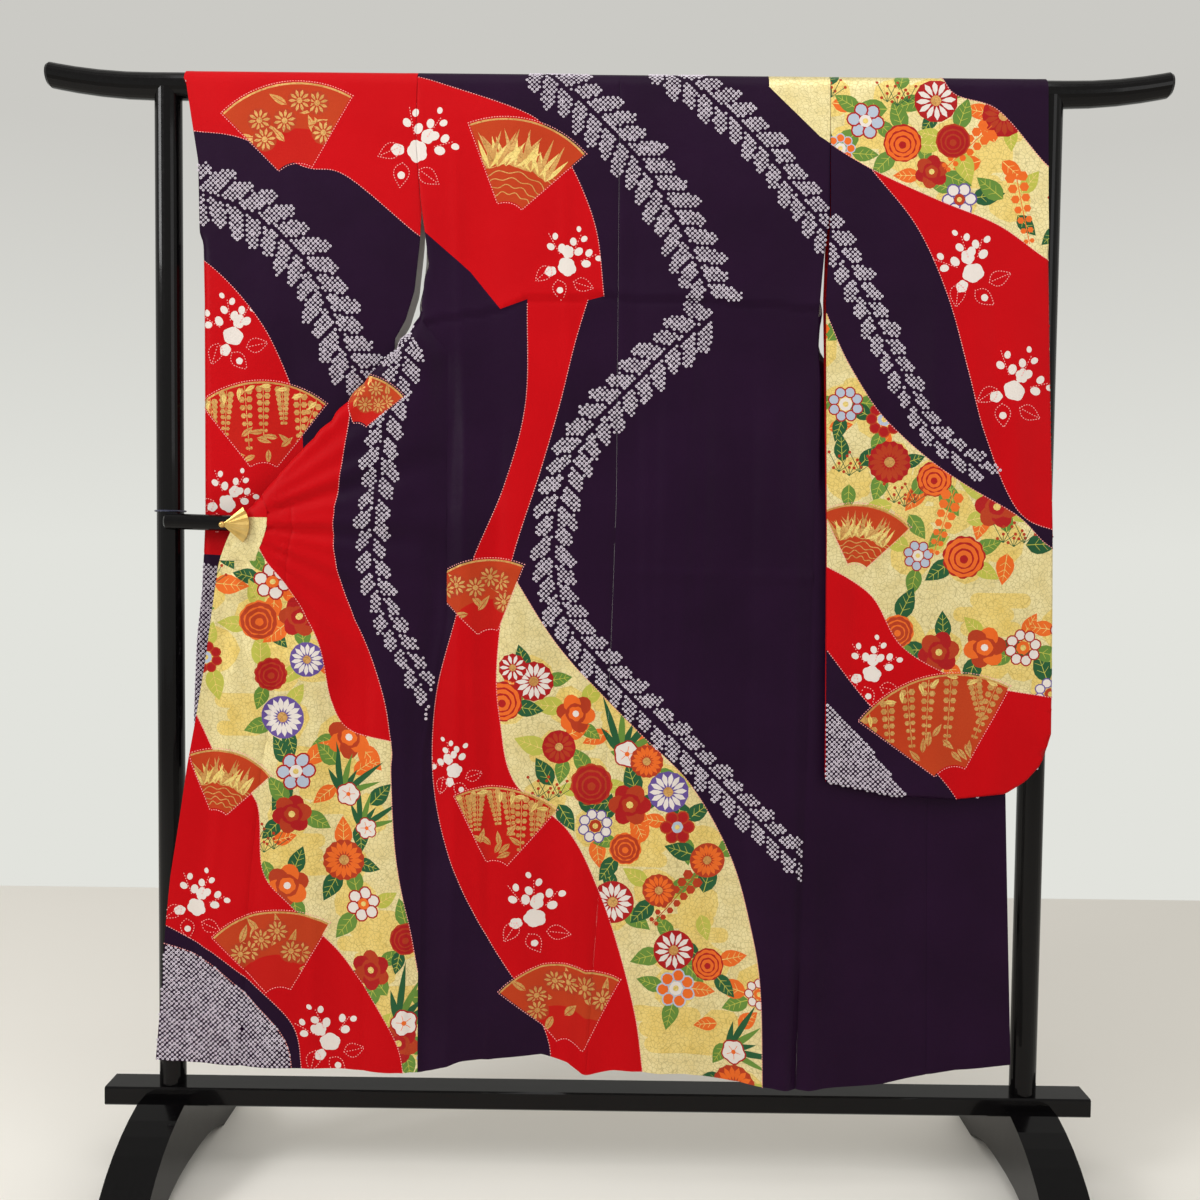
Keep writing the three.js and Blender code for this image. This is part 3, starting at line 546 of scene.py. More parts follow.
# %% The cutter
def dense(poly, step=7.0):
    poly = np.array(poly, float)
    out = []
    for a, b in zip(poly, np.roll(poly, -1, 0)):
        n = max(1, int(np.ceil(np.hypot(*(b - a)) / step)))
        out += [a + (b - a) * k / n for k in range(n)]
    return np.array(out)


def evenly(line, step):
    """Points at even steps along an open line."""
    at = np.concatenate([[0], np.cumsum(np.hypot(*np.diff(line, axis=0).T))])
    t = np.linspace(0, at[-1], max(2, int(at[-1] / step)))
    return np.stack([np.interp(t, at, line[:, 0]), np.interp(t, at, line[:, 1])], 1)


def curve(points, step=7.0):
    """A smooth open line through a few points."""
    p = np.array(points, float)
    p = np.vstack([2 * p[0] - p[1], p, 2 * p[-1] - p[-2]])
    out = []
    for i in range(1, len(p) - 2):
        n = max(2, int(np.hypot(*(p[i + 1] - p[i])) / step))
        for t in np.linspace(0, 1, n, endpoint=False):
            out.append(0.5 * (2 * p[i] + (p[i + 1] - p[i - 1]) * t
                              + (2 * p[i - 1] - 5 * p[i] + 4 * p[i + 1] - p[i + 2]) * t ** 2
                              + (3 * p[i] - p[i - 1] - 3 * p[i + 1] + p[i + 2]) * t ** 3))
    return np.array(out + [p[-2]])


def inside(poly, pts):
    x, y = pts[:, 0], pts[:, 1]
    hit = np.zeros(len(pts), bool)
    for (ax, ay), (bx, by) in zip(poly, np.roll(poly, -1, 0)):
        if ay == by:
            continue
        cross = ((ay > y) != (by > y)) & (x < (bx - ax) * (y - ay) / (by - ay) + ax)
        hit ^= cross
    return hit


def ccw(poly):
    """The same closed line, anticlockwise from its outermost point, as the triangulation wants it."""
    p = np.array(poly, float)
    q = np.roll(p, -1, 0)
    p = p if (p[:, 0] * q[:, 1] - q[:, 0] * p[:, 1]).sum() > 0 else p[::-1]
    return np.roll(p, -int(np.argmax(p[:, 0] + 0.37 * p[:, 1])), 0)


def above(poly, level):
    """The part of a closed line that lies above a level, or None."""
    out = []
    for a, b in zip(poly, np.roll(poly, -1, 0)):
        if a[1] >= level:
            out.append(a)
        if (a[1] >= level) != (b[1] >= level):
            out.append(a + (b - a) * (level - a[1]) / (b[1] - a[1]))
    return np.array(out) if len(out) > 2 and np.ptp(np.array(out)[:, 1]) > 2 else None


class Design:
    """Motifs in the order they are laid on: outline, dye, and the motif that holds it."""

    def __init__(self):
        self.items, self.stitches, self.dots, self.clear = [], [], [], []

    def lay(self, poly, dye, within=None):
        self.items.append((ccw(poly), dye, within))
        return len(self.items) - 1


def cut(outline, design, base, step=7.4, fine=None):
    """Points, triangles and dye numbers of one flat map. fine(points) is True where the grid stays close."""
    outline = ccw(outline)
    lo, hi = outline.min(0), outline.max(0)
    gx, gy = np.meshgrid(np.arange(lo[0], hi[0], step), np.arange(lo[1], hi[1], step * 0.866))
    gx[1::2] += step / 2
    keep = np.ones(gx.shape, bool)
    if fine is not None:
        ok = fine(np.stack([gx.ravel(), gy.ravel()], 1)).reshape(gx.shape)
        coarse = np.zeros_like(ok)
        coarse[::2, ::2] = True
        keep = ok | coarse
    grid = np.stack([gx[keep], gy[keep]], 1)
    grid = grid[inside(outline, grid)]

    def clear_of(points, limit):
        far = np.ones(len(points), bool)
        for k in range(0, len(outline), 200):
            far &= np.hypot(*(points[:, None] - outline[None, k:k + 200]).transpose(2, 0, 1)).min(1) > limit
        return points[far]

    along = np.roll(outline, -1, 0) - np.roll(outline, 1, 0)
    inward = np.stack([-along[:, 1], along[:, 0]], 1) / np.maximum(np.hypot(*along.T), 1e-9)[:, None]
    # even rows beside a rim, so that it rolls without a ripple
    rings = [outline + inward * d for d in (2.2, 5.5, 10.5)]
    grid = np.vstack([clear_of(grid, 13.5)] + [clear_of(r[inside(outline, r)], 0.85 * d) for r,
                                               d in zip(rings, (2.2, 5.5, 10.5))])
    verts, faces, used = [outline], [list(range(len(outline)))], [-1]
    n = len(outline)
    for k, (poly, dye, within) in enumerate(design.items):
        if (poly.max(0) < lo - 1).any() or (poly.min(0) > hi + 1).any():
            continue
        verts.append(poly)
        faces.append(list(range(n, n + len(poly))))
        used.append(k)
        n += len(poly)
    verts.append(grid)
    flat = np.vstack(verts)
    vs, _, fs, _, _, orig = delaunay_2d_cdt([tuple(p) for p in flat.tolist()], [], faces, 1, 0.02)
    tris, dyes = [], []
    for f, of in zip(fs, orig):
        held = set(of)
        if 0 not in held or len(f) < 3:
            continue
        names = {used[i] for i in held}
        dye = base
        for i in sorted(names, reverse=True):
            if i < 0:
                break
            within = design.items[i][2]
            if within is None or within in names:
                dye = design.items[i][1]
                break
        for k in range(1, len(f) - 1):
            tris.append((f[0], f[k], f[k + 1]))
            dyes.append(ID[dye])
    pts = np.array([(v[0], v[1]) for v in vs])
    return pts, np.array(tris), np.array(dyes)


# %% [markdown]
# The cut map becomes cloth in three moves: hang it in space, weld it where the maker folded or joined it,
# and give it a lining a little over a millimetre inside, closed along its rims.

# %% From map to cloth
def cloth(name, parts, lining="lining", thick=1.2, weld=0.3):
    """parts: (map points, points in space, triangles, dye numbers), millimetres."""
    uv = np.vstack([p[0] for p in parts])
    xyz = np.vstack([np.stack(p[1], 1) for p in parts])
    base, tris, dyes = 0, [], []
    for p in parts:
        tris.append(p[2] + base)
        dyes.append(p[3])
        base += len(p[0])
    tris, dyes = np.vstack(tris), np.concatenate(dyes)

    def edges(t):
        e = np.vstack([t[:, [0, 1]], t[:, [1, 2]], t[:, [2, 0]]])
        key = np.sort(e, 1)
        u, first, count = np.unique(key, axis=0, return_index=True, return_counts=True)
        return e[first[count == 1]], first[count == 1] % len(t)

    rim, _ = edges(tris)
    b = np.unique(rim)
    move = np.arange(len(xyz))
    P = xyz[b]
    for i in range(len(b)):
        d = np.abs(P[i + 1:] - P[i]).sum(1)
        for j in np.nonzero(d < weld)[0]:
            if move[b[i + 1 + j]] == b[i + 1 + j]:
                move[b[i + 1 + j]] = move[b[i]]
    corner_uv = uv[tris]
    tris = move[tris]
    ok = (tris[:, 0] != tris[:, 1]) & (tris[:, 1] != tris[:, 2]) & (tris[:, 2] != tris[:, 0])
    tris, dyes, corner_uv = tris[ok], dyes[ok], corner_uv[ok]
    live, inverse = np.unique(tris, return_inverse=True)
    xyz, tris = xyz[live], inverse.reshape(tris.shape)
    face_n = np.cross(xyz[tris[:, 1]] - xyz[tris[:, 0]], xyz[tris[:, 2]] - xyz[tris[:, 0]])
    normal = np.zeros_like(xyz)
    for k in range(3):
        np.add.at(normal, tris[:, k], face_n)
    normal /= np.maximum(np.linalg.norm(normal, axis=1), 1e-9)[:, None]
    rim, owner = edges(tris)
    n = len(xyz)
    lateral = np.cross(xyz[rim[:, 1]] - xyz[rim[:, 0]], face_n[owner])
    lateral /= np.maximum(np.linalg.norm(lateral, axis=1), 1e-9)[:, None]
    allowance = np.zeros_like(xyz)  # the turned-in seam allowance closes the hairline between two pieces
    for k in range(2):
        np.add.at(allowance, rim[:, k], lateral)
    allowance *= 0.45 / np.maximum(np.linalg.norm(allowance, axis=1), 1e-9)[:, None]
    back = tris[:, ::-1] + n
    side1 = np.stack([rim[:, 1], rim[:, 0], rim[:, 0] + n], 1)
    side2 = np.stack([rim[:, 1], rim[:, 0] + n, rim[:, 1] + n], 1)
    allv = np.vstack([xyz, xyz - normal * thick + allowance]) / 1000.0
    allt = np.vstack([tris, back, side1, side2])
    alld = np.concatenate([dyes, np.full(len(back), len(DYE) if lining is None else ID[lining]), dyes[owner],
                           dyes[owner]])
    lookup = np.zeros((len(xyz), 2))
    lookup[tris.ravel()] = corner_uv.reshape(-1, 2)
    uvs = np.vstack([corner_uv.reshape(-1, 2), corner_uv[:, ::-1].reshape(-1, 2),
                     lookup[side1 % n].reshape(-1, 2), lookup[side2 % n].reshape(-1, 2)]) / 1000.0
    mesh = bpy.data.meshes.new(name)
    mesh.vertices.add(len(allv))
    mesh.vertices.foreach_set("co", allv.ravel())
    mesh.loops.add(allt.size)
    mesh.loops.foreach_set("vertex_index", allt.ravel().astype(np.int32))
    mesh.polygons.add(len(allt))
    mesh.polygons.foreach_set("loop_start", np.arange(0, allt.size, 3, dtype=np.int32))
    shown = sorted(set(alld.tolist()))
    slot = {d: i for i, d in enumerate(shown)}
    mesh.polygons.foreach_set("material_index", np.array([slot[d] for d in alld], np.int32))
    mesh.polygons.foreach_set("use_smooth", np.ones(len(allt), bool))
    mesh.uv_layers.new(name="cloth").data.foreach_set("uv", uvs.ravel())
    for d in shown:
        mesh.materials.append(DYES[DYE[d]])
    mesh.update()
    mesh.validate()
    if len(mesh.loops) == allt.size:  # the narrow rims shade like the face that they belong to
        facing = np.concatenate([np.ones(len(tris)), -np.ones(len(back)), np.ones(2 * len(rim))])
        turned = normal[allt % n] * facing[:, None, None]
        mesh.normals_split_custom_set(turned.reshape(-1, 3).tolist())
    obj = bpy.data.objects.new(name, mesh)
    bpy.context.scene.collection.objects.link(obj)
    area = np.linalg.norm(face_n, axis=1).sum() / 2e6
    print(f"{name}: {len(allt)} triangles, {area:.3f} square metres")
    return obj


# %% [markdown]
# ## The motifs
# Each is a small recipe of closed lines. Folding fans full of gold flowers, resist-dyed plum blossom,
# embroidered chrysanthemums, camellias, leaves and grasses, and drifting mist are the common stock of
# kimono painting. Here they are drawn from rules, and the flowers on gold are scattered with a fixed seed.

# %% Motif recipes
def blob(cx, cy, r, lobes=5, depth=0.2, turn=0.0, n=None):
    n = n or 4 * lobes
    a = np.linspace(0, 2 * math.pi, n, endpoint=False)
    k = r * (1 - depth + depth * np.abs(np.cos((a - turn) * lobes / 2)) ** 0.7)
    return np.stack([cx + k * np.cos(a), cy + k * np.sin(a)], 1)


def leaf_shape(cx, cy, length, width, angle, n=5, belly=0.42):
    t = np.linspace(0, 1, n + 1)
    w = width / 2 * np.sin(math.pi * t ** (0.75 if belly < 0.5 else 1.2))
    up, down = np.stack([t * length, w], 1), np.stack([t[::-1] * length, -w[::-1]], 1)[1:-1]
    p = np.vstack([up, down])
    c, s = math.cos(angle), math.sin(angle)
    return np.stack([cx + p[:, 0] * c - p[:, 1] * s, cy + p[:, 0] * s + p[:, 1] * c], 1)


def ribbon(points, width, taper=0.0):
    """A thin strip along a smooth line."""
    p = curve(points, 6.0 if len(points) > 2 else 14.0)
    d = np.gradient(p, axis=0)
    d /= np.maximum(np.hypot(d[:, 0], d[:, 1]), 1e-6)[:, None]
    w = width / 2 * (1 - taper * np.linspace(0, 1, len(p)))[:, None]
    nrm = np.stack([-d[:, 1], d[:, 0]], 1)
    return np.vstack([p + nrm * w, (p - nrm * w)[::-1]])


def leaf(D, cx, cy, length, angle, dye, rib="yellow", within=None, width=0.42):
    D.lay(leaf_shape(cx, cy, length, length * width, angle), dye, within)
    c, s = math.cos(angle), math.sin(angle)
    D.lay(ribbon([(cx + 1 * c, cy + 1 * s), (cx + length * 0.8 * c, cy + length * 0.8 * s)], 1.1, 0.5), rib,
          within)


def kiku(D, cx, cy, r, dye, tip, n=12, within=None, turn=0.0):
    """Chrysanthemum: a ring of petals, every other one in the second colour, round a gold heart."""
    D.lay(blob(cx, cy, r * 1.04, n, 0.08, turn + math.pi / n, 2 * n), tip, within)
    for k in range(n):
        a = turn + 2 * math.pi * k / n
        D.lay(leaf_shape(cx + 0.26 * r * math.cos(a), cy + 0.26 * r * math.sin(a), 0.68 * r, 0.27 * r, a, 3,
                         0.6), dye, within)
    D.lay(blob(cx, cy, r * 0.26, 6, 0.1, 0, 10), "thread", within)


def plum(D, cx, cy, r, dye, heart="mist", within=None, turn=0.0, edge=None):
    if edge:
        D.lay(blob(cx, cy, r * 1.12, 5, 0.2, turn, 20), edge, within)
    D.lay(blob(cx, cy, r, 5, 0.24, turn, 20), dye, within)
    for k in range(5):
        a = turn + 2 * math.pi * k / 5
        D.lay(ribbon([(cx + 0.2 * r * math.cos(a), cy + 0.2 * r * math.sin(a)),
                      (cx + 0.62 * r * math.cos(a), cy + 0.62 * r * math.sin(a))], 0.9), heart, within)
    D.lay(blob(cx, cy, r * 0.2, 5, 0, 0, 8), heart, within)


def peony(D, cx, cy, r, outer, inner, heart, within=None, turn=0.0):
    """Camellia or peony: overlapping round petals in two tones."""
    for k in range(6):
        a = turn + 2 * math.pi * k / 6
        D.lay(blob(cx + 0.55 * r * math.cos(a), cy + 0.55 * r * math.sin(a), 0.46 * r, 3, 0.1, a, 12), outer
              if k % 2 else inner, within)
    D.lay(blob(cx, cy, 0.55 * r, 5, 0.15, turn, 15), inner, within)
    D.lay(blob(cx, cy, 0.4 * r, 5, 0.2, turn + 0.6, 15), outer, within)
    D.lay(blob(cx, cy, 0.17 * r, 5, 0, 0, 8), heart, within)


def grass(D, cx, cy, size, dye, dye2, within=None, n=6, lean=0.4):
    for k in range(n):
        a = math.pi / 2 + (k - (n - 1) / 2) * 0.34 + lean
        D.lay(leaf_shape(cx, cy, size * (0.75 + 0.25 * math.sin(k * 2.1)), size * 0.11, a), dye if k % 3
              else dye2, within)


def wisteria(D, cx, cy, length, angle, dye, within=None, rows=7, size=5.2):
    c, s = math.cos(angle), math.sin(angle)
    D.lay(ribbon([(cx, cy), (cx + length * 0.5 * c, cy + length * 0.5 * s),
                  (cx + length * c, cy + length * s)], 1.3), dye, within)
    for k in range(rows):
        t, r = (k + 0.7) / rows, size * (1.15 - 0.7 * k / rows)
        for side in (-1, 1):
            D.lay(blob(cx + t * length * c - side * s * r * 1.15, cy + t * length * s + side * c * r * 1.15,
                       r, 3, 0.12, angle, 6), dye, within)


def berries(D, cx, cy, size, dye, stem, within=None, n=7):
    for k in range(n):
        a = math.pi * (0.2 + 0.6 * k / (n - 1))
        r = size * (0.65 + 0.35 * math.sin(k * 2.7))
        x, y = cx + r * math.cos(a), cy + r * math.sin(a)
        D.lay(ribbon([(cx, cy), (x, y)], 1.0), stem, within)
        D.lay(blob(x, y, 2.6, 3, 0, 0, 7), dye, within)


def sector(cx, cy, r0, r1, a0, a1, n=16):
    """A ring sector, the outline of a fan leaf."""
    a = np.linspace(a0, a1, n + 1)
    outer = np.stack([cx + r1 * np.cos(a), cy + r1 * np.sin(a)], 1)
    b = a[::-1]
    return np.vstack([outer, np.stack([cx + r0 * np.cos(b), cy + r0 * np.sin(b)], 1)])


def fan(D, box, dye="fan", alpha=36, tilt=0, kind=0, seed=1, within=None):
    """A spread folding fan that fills the box (x0, x1, z0, z1): ground, gold painting, and a stitched edge."""
    x0, x1, z0, z1 = box
    w, h, al, tl = x1 - x0, z1 - z0, math.radians(alpha), math.radians(tilt)
    r1 = w / (2 * math.sin(al))
    r0 = max(0.22 * r1, (r1 - h) / math.cos(al))
    cx, cy = (x0 + x1) / 2 - math.sin(-tl) * (r1 - h / 2), z1 - r1 + (1 - math.cos(tl)) * (r1 - h / 2)
    a0, a1 = math.pi / 2 - al - tl, math.pi / 2 + al - tl
    me = D.lay(dense(sector(cx, cy, r0, r1, a0, a1), 6), dye, within)
    D.clear.append(sector(cx, cy, r0 - 5, r1 + 5, a0 - 0.02, a1 + 0.02))
    seam = sector(cx, cy, r0 - 2.2, r1 + 2.2, a0 - 0.012, a1 + 0.012)
    D.stitches.append((np.vstack([seam, seam[:1]]), within))
    R = np.random.default_rng(seed)
    P = lambda a, r: (cx + r * math.cos(a), cy + r * math.sin(a))
    other = "fanred" if dye == "fan" else "fan"
    if kind == 0:  # flowers over leaves on a ground of the other colour
        D.lay(dense(sector(cx, cy, r0, lerp(r0, r1, 0.42), a0, a1), 6), other, me)
        for k in range(9):
            a, r = a0 + (a1 - a0) * (k + 0.5) / 9, lerp(r0, r1, 0.28 + 0.5 * R.random())
            leaf(D, *P(a, r), 0.2 * (r1 - r0) + 8, a + R.normal() * 0.9, "thread", other, me, 0.34)
        for k in range(6):
            a, r = a0 + (a1 - a0) * (k + 0.5 + 0.3 * R.normal()) / 6, lerp(r0, r1, 0.35 + 0.45 * R.random())
            kiku(D, *P(a, r), 0.11 * (r1 - r0) + 5, "thread", "rust", 10, me, R.random())
    elif kind == 1:  # hanging wisteria
        for k in range(7):
            a = a0 + (a1 - a0) * (k + 0.5) / 7
            wisteria(D, *P(a, r1 - 4), (r1 - r0) * (0.45 + 0.4 * R.random()),
                     -math.pi / 2 + 0.12 * R.normal(), "thread", me, 8, 5)
        for k in range(9):
            leaf(D, *P(a0 + (a1 - a0) * (k + 0.5) / 9, lerp(r0, r1, 0.08 + 0.3 * R.random())), 24,
                 6 * R.random(), "thread", "fan", me, 0.36)
        for k in range(8):
            a = a0 + (a1 - a0) * (k + 0.5) / 8
            leaf(D, *P(a, r1 - 6), 19, a + 2.2 + R.normal() * 0.6, "mist", "thread", me, 0.36)
    else:  # running water and grasses
        for k in range(6):
            r = lerp(r0, r1, 0.1 + 0.085 * k)
            a = np.linspace(a0, a1, 22)
            line = [P(x, r + 2.2 * math.sin(5 * (x - a0) * 3 + k * 1.9)) for x in a]
            D.lay(ribbon(line, 1.5), "thread", me)
        for k in range(8):
            a = a0 + (a1 - a0) * (k + 0.6) / 8
            grass(D, *P(a, lerp(r0, r1, 0.42)), (r1 - r0) * 0.5, "thread", "mist", me, 5, 0.25 * R.normal())
    D.lay(dense(sector(cx, cy, r1 - 3, r1, a0, a1), 6), "thread", me)
    return me


def resist_group(D, cx, cy, size=1.0, seed=3, within=None):
    """White plum blossom left undyed on the red: full blooms, sprays of oval buds, and stitched leaves."""
    R = np.random.default_rng(seed)
    tilt = 0.35 * R.normal()
    white = lambda x, y, r, n, depth, long=1.0, a=0.0: D.lay(
        (blob(0, 0, size * r, n, depth, 6 * R.random(), 4 * n)
         * [long, 1]) @ np.array([[math.cos(a), math.sin(a)], [-math.sin(a), math.cos(a)]]) + [x, y], "white",
                                                             within)
    for k in range(3):  # full blooms
        a = tilt - 0.3 + 2.0 * k + 0.25 * R.normal()
        white(cx + size * 31 * math.cos(a) * (k > 0), cy + size * 27 * math.sin(a) * (k > 0),
              (16, 11, 9.5)[k], 5, 0.17, 1.15, a)
    for k in range(3):  # sprays of buds
        a = math.pi / 2 + tilt + (k - 1) * 0.8 + 0.1 * R.normal()
        for j in range((3, 4, 3)[k]):
            d, off = size * (34 + 12.5 * j), size * (8 if j % 2 else -8)
            white(cx + d * math.cos(a) - off * math.sin(a), cy + d * math.sin(a) + off * math.cos(a),
                  7.0 - 0.9 * j, 3, 0.05, 1.25, a + (0.5 if j % 2 else -0.5))
        line = evenly(np.array([(cx + size * d * math.cos(a), cy + size * d * math.sin(a))
                                for d in (28, 56 + 6 * k)]), 6)
        D.stitches.append((line, within))
    for k in range(3):  # stitched leaves
        a = tilt - math.pi / 2 + (k - 1) * 1.05
        x, y = cx + size * 44 * math.cos(a), cy + size * (40 * math.sin(a) - 4)
        c, sn, L = math.cos(a + 0.5), math.sin(a + 0.5), size * 19
        out = leaf_shape(x - L * c, y - L * sn, 2 * L, 1.3 * L, a + 0.5, 8)
        D.stitches.append((np.vstack([out, out[:1]]), within))
        if k == 1:
            white(x, y, 6, 5, 0.1)
        else:
            D.stitches.append((evenly(np.array([(x - 0.7 * L * c, y - 0.7 * L * sn),
                                                (x + 0.7 * L * c, y + 0.7 * L * sn)]), 6), within))


def mist(D, cx, cy, w, h, dye="mist", within=None, bars=3):
    """Drifting mist: stacked bars with round ends."""
    for k in range(bars):
        y, x = cy + (k - (bars - 1) / 2) * h, cx + (w * 0.22) * math.sin(k * 2.4 + cx)
        a = np.linspace(-math.pi / 2, math.pi / 2, 7)
        R = h * 0.53
        right = np.stack([x + w / 2 + R * np.cos(a), y + R * np.sin(a)], 1)
        left = np.stack([x - w / 2 - R * np.cos(a), y - R * np.sin(a)], 1)
        D.lay(dense(np.vstack([right, left]), 8), dye, within)


def blossom(D, cx, cy, r, petal, edge, heart, within=None, turn=0.0, n=6):
    """An embroidered blossom of round petals, each couched round its edge."""
    for k in range(n):
        a = turn + 2 * math.pi * k / n
        for size, dye in ((0.4, edge), (0.31, petal)):
            D.lay(blob(cx + 0.62 * r * math.cos(a), cy + 0.62 * r * math.sin(a), size * r * 6 / n, 3, 0.06, a,
                       10), dye, within)
    D.lay(blob(cx, cy, 0.34 * r, 6, 0.12, turn, 14), heart, within)
    D.lay(blob(cx, cy, 0.15 * r, 5, 0, 0, 8), "mist", within)


def ball(D, cx, cy, r, one, two, within=None, turn=0.0):
    """A full chrysanthemum from the side: scallops inside scallops."""
    for k, f in enumerate((1.0, 0.92, 0.74, 0.66, 0.48, 0.4, 0.2)):
        D.lay(blob(cx, cy - 0.1 * r * k / 6, r * f, 11 - k, 0.09, turn + k, 3 * (11 - k)), two if k % 2 == 0
              else one, within)


def big_leaf(D, cx, cy, length, angle, dye, rib, within=None, width=0.56):
    """A leaf with its midrib and side veins laid in a second thread."""
    D.lay(leaf_shape(cx, cy, length, length * width, angle, 6), dye, within)
    at = lambda u, v: (cx + u * math.cos(angle) - v * math.sin(angle),
                       cy + u * math.sin(angle) + v * math.cos(angle))
    D.lay(ribbon([at(1, 0), at(length * 0.86, 0)], 1.3, 0.5), rib, within)
    for u in (0.28, 0.5, 0.68):
        for v in (-1, 1):
            D.lay(ribbon([at(u * length, 0), at((u + 0.14) * length, v * 0.17 * length)], 0.9, 0.4), rib,
                  within)


def garden(D, field, within, spacing=34, seed=5, keep_off=(), only=None):
    """Fills part of a gold field with large flowers over leaves, grasses and berries, but for the places kept free."""
    R = np.random.default_rng(seed)
    lo, hi = field.min(0), field.max(0)
    pts = []
    for _ in range(2600):
        p = lo + (hi - lo) * R.random(2)
        if all(np.hypot(*(p - q)) > spacing for q in pts):
            pts.append(p)
    pts = np.array(pts)
    pts = pts[inside(field, pts)]
    for x0, x1, z0, z1 in keep_off:
        pts = pts[~((pts[:, 0] > x0) & (pts[:, 0] < x1) & (pts[:, 1] > z0) & (pts[:, 1] < z1))]
    if only is not None:
        pts = pts[only(pts)]
    for x, y in pts:  # warm clouds under the flowers, then foliage
        D.lay(blob(x + 8 * R.normal(), y + 8 * R.normal(), spacing * 0.62, 4, 0.16, 6 * R.random(), 12),
              "mist", within)
    for x, y in pts:
        a = R.random() * 6.3
        for k in range(3):
            b = a + k * 2.1 + 0.3 * R.normal()
            dye = R.choice(["deep", "green", "deep", "green", "yellow", "orange"])
            big_leaf(D, x + 19 * math.cos(b), y + 19 * math.sin(b), 38 + 18 * R.random(),
                     b + R.normal() * 0.35, dye, "yellow" if dye in ("deep", "green") else "mist", within)
    for x, y in pts:
        r, kind, t = 25 + 9 * R.random(), int(R.integers(0, 12)), R.random() * 6
        if kind < 2:
            kiku(D, x, y, r, *[("orange", "rust"), ("white", "crimson"), ("rust", "crimson"),
                               ("white", "lilac")][R.integers(0, 4)], 12 + 2 * R.integers(0, 3), within, t)
        elif kind < 5:
            blossom(D, x, y, r, *[("white", "crimson", "orange"), ("grey", "crimson", "white"),
                                  ("crimson", "rust", "grey"), ("white", "lilac", "rust"),
                                  ("orange", "grey", "white")][R.integers(0, 5)], within, t,
                    6 + int(R.integers(0, 3)))
        elif kind < 7:
            peony(D, x, y, r * 1.05, *[("crimson", "rust", "mist"), ("orange", "rust", "white"),
                                       ("rust", "crimson", "mist")][R.integers(0, 3)], within, t)
        elif kind < 9:
            ball(D, x, y, r, *[("rust", "orange"), ("crimson", "rust"),
                               ("orange", "crimson")][R.integers(0, 3)], within, t)
        elif kind == 9:
            grass(D, x, y - r, r * 3.0, "deep", "green", within, 6, R.normal() * 0.4)
            plum(D, x + 10, y - r, r * 0.6, "white", "orange", within, t, "crimson")
        elif kind == 10:
            wisteria(D, x, y + r * 1.6, r * 3.6, -math.pi / 2 + R.normal() * 0.4,
                     R.choice(["white", "orange", "rust"]), within, 7, 7.5)
        else:
            for j in range(3):
                berries(D, x + 16 * (j - 1), y - 6 * (j % 2), r * 1.3, "rust", "deep", within, 5)
    return len(pts)


def kanoko_band(D, line, width, gap=3.2, pitch=31, ends=(1, 1)):
    """Two close rows of slanting, round-ended leaflets of tied dots along a line."""
    p = curve(line, 2.0)
    at = np.concatenate([[0], np.cumsum(np.hypot(*np.diff(p, axis=0).T))])
    n = int(at[-1] / pitch)
    step, t = at[-1] / n, np.linspace(0, 1, 9)

    def place(u, v):
        c = np.clip(u, 4, at[-1] - 4)
        x, y = np.interp(c, at, p[:, 0]), np.interp(c, at, p[:, 1])
        dx, dy = (np.interp(c + 4, at, p[:, k]) - np.interp(c - 4, at, p[:, k]) for k in (0, 1))
        r = np.hypot(dx, dy)
        return np.stack([x + (u - c) * dx / r - v * dy / r, y + (u - c) * dy / r + v * dx / r], 1)

    for k in range(n):
        w = 0.5 * width * lerp(ends[0], ends[1], k / n) * (0.94 + 0.1 * math.sin(k * 2.3))
        for s in (-1, 1):
            a = k * step + 2.4 + (0 if s < 0 else 0.45 * step)
            b = a + step - 4.8
            end = w * (1 - 0.26 * (2 * t - 1) ** 2)
            u = np.concatenate([[a, a + 0.2 * w], lerp(a, b, t) + 0.55 * end, [b + 0.2 * w, b]])
            D.dots.append(place(u, s * np.concatenate([[gap, 0.4 * w], end, [0.4 * w, gap]])))


def kanoko_field(D, poly):
    D.dots.append(np.array(poly, float))


# %% [markdown]
# ## The layout
# Great S-curves of colour run across the whole garment, over seams and from body to sleeve, which is what
# makes a picture-pattern kimono. All panels therefore share one drawing plane, that of the back, and each
# has its own part. The borders, fans, tied bands and blossom groups stand where they do on the real
# garment. The flowers on gold don't.

# %% Bands of colour, fans and flowers
sleeve_red_foot = curve([(-700, 1676), (-644, 1668), (-571, 1658), (-473, 1615), (-408, 1602), (-299, 1515),
                         (-270, 1500)])
body_red_left = [(-300, 1530), (-273, 1506), (-211, 1453), (-164, 1396), (-122, 1412), (-122, 1404)]
strip_left = curve([(-122, 1404), (-123, 1252), (-153, 1128), (-202, 1006), (-230, 909), (-258, 799),
                    (-265, 688), (-252, 593), (-220, 497), (-172, 401), (-107, 288), (-78, 225), (-72, 170)])
strip_right = curve([(-28, 1411), (-47, 1345), (-69, 1252), (-99, 1144), (-145, 991), (-164, 846),
                     (-158, 752), (-134, 657), (-47, 578), (1, 482), (34, 386), (59, 289), (71, 205),
                     (75, 170)])
body_red_right = curve([(-3, 1418), (-15, 1515), (-42, 1591), (-73, 1644), (-120, 1697), (-259, 1745),
                        (-330, 1765)])
gold_right = curve([(-145, 991), (-73, 878), (-2, 800), (61, 737), (141, 658), (205, 546), (239, 434),
                    (256, 338), (262, 170)])
red_body = dense(np.vstack([body_red_left, strip_left, strip_right[::-1], body_red_right, [(-330, 1530)]]))
low = strip_right[np.argmin(np.hypot(*(strip_right - (-145, 991)).T)):]
gold_body = dense(np.vstack([low, gold_right[::-1]]))
BODY = Design()
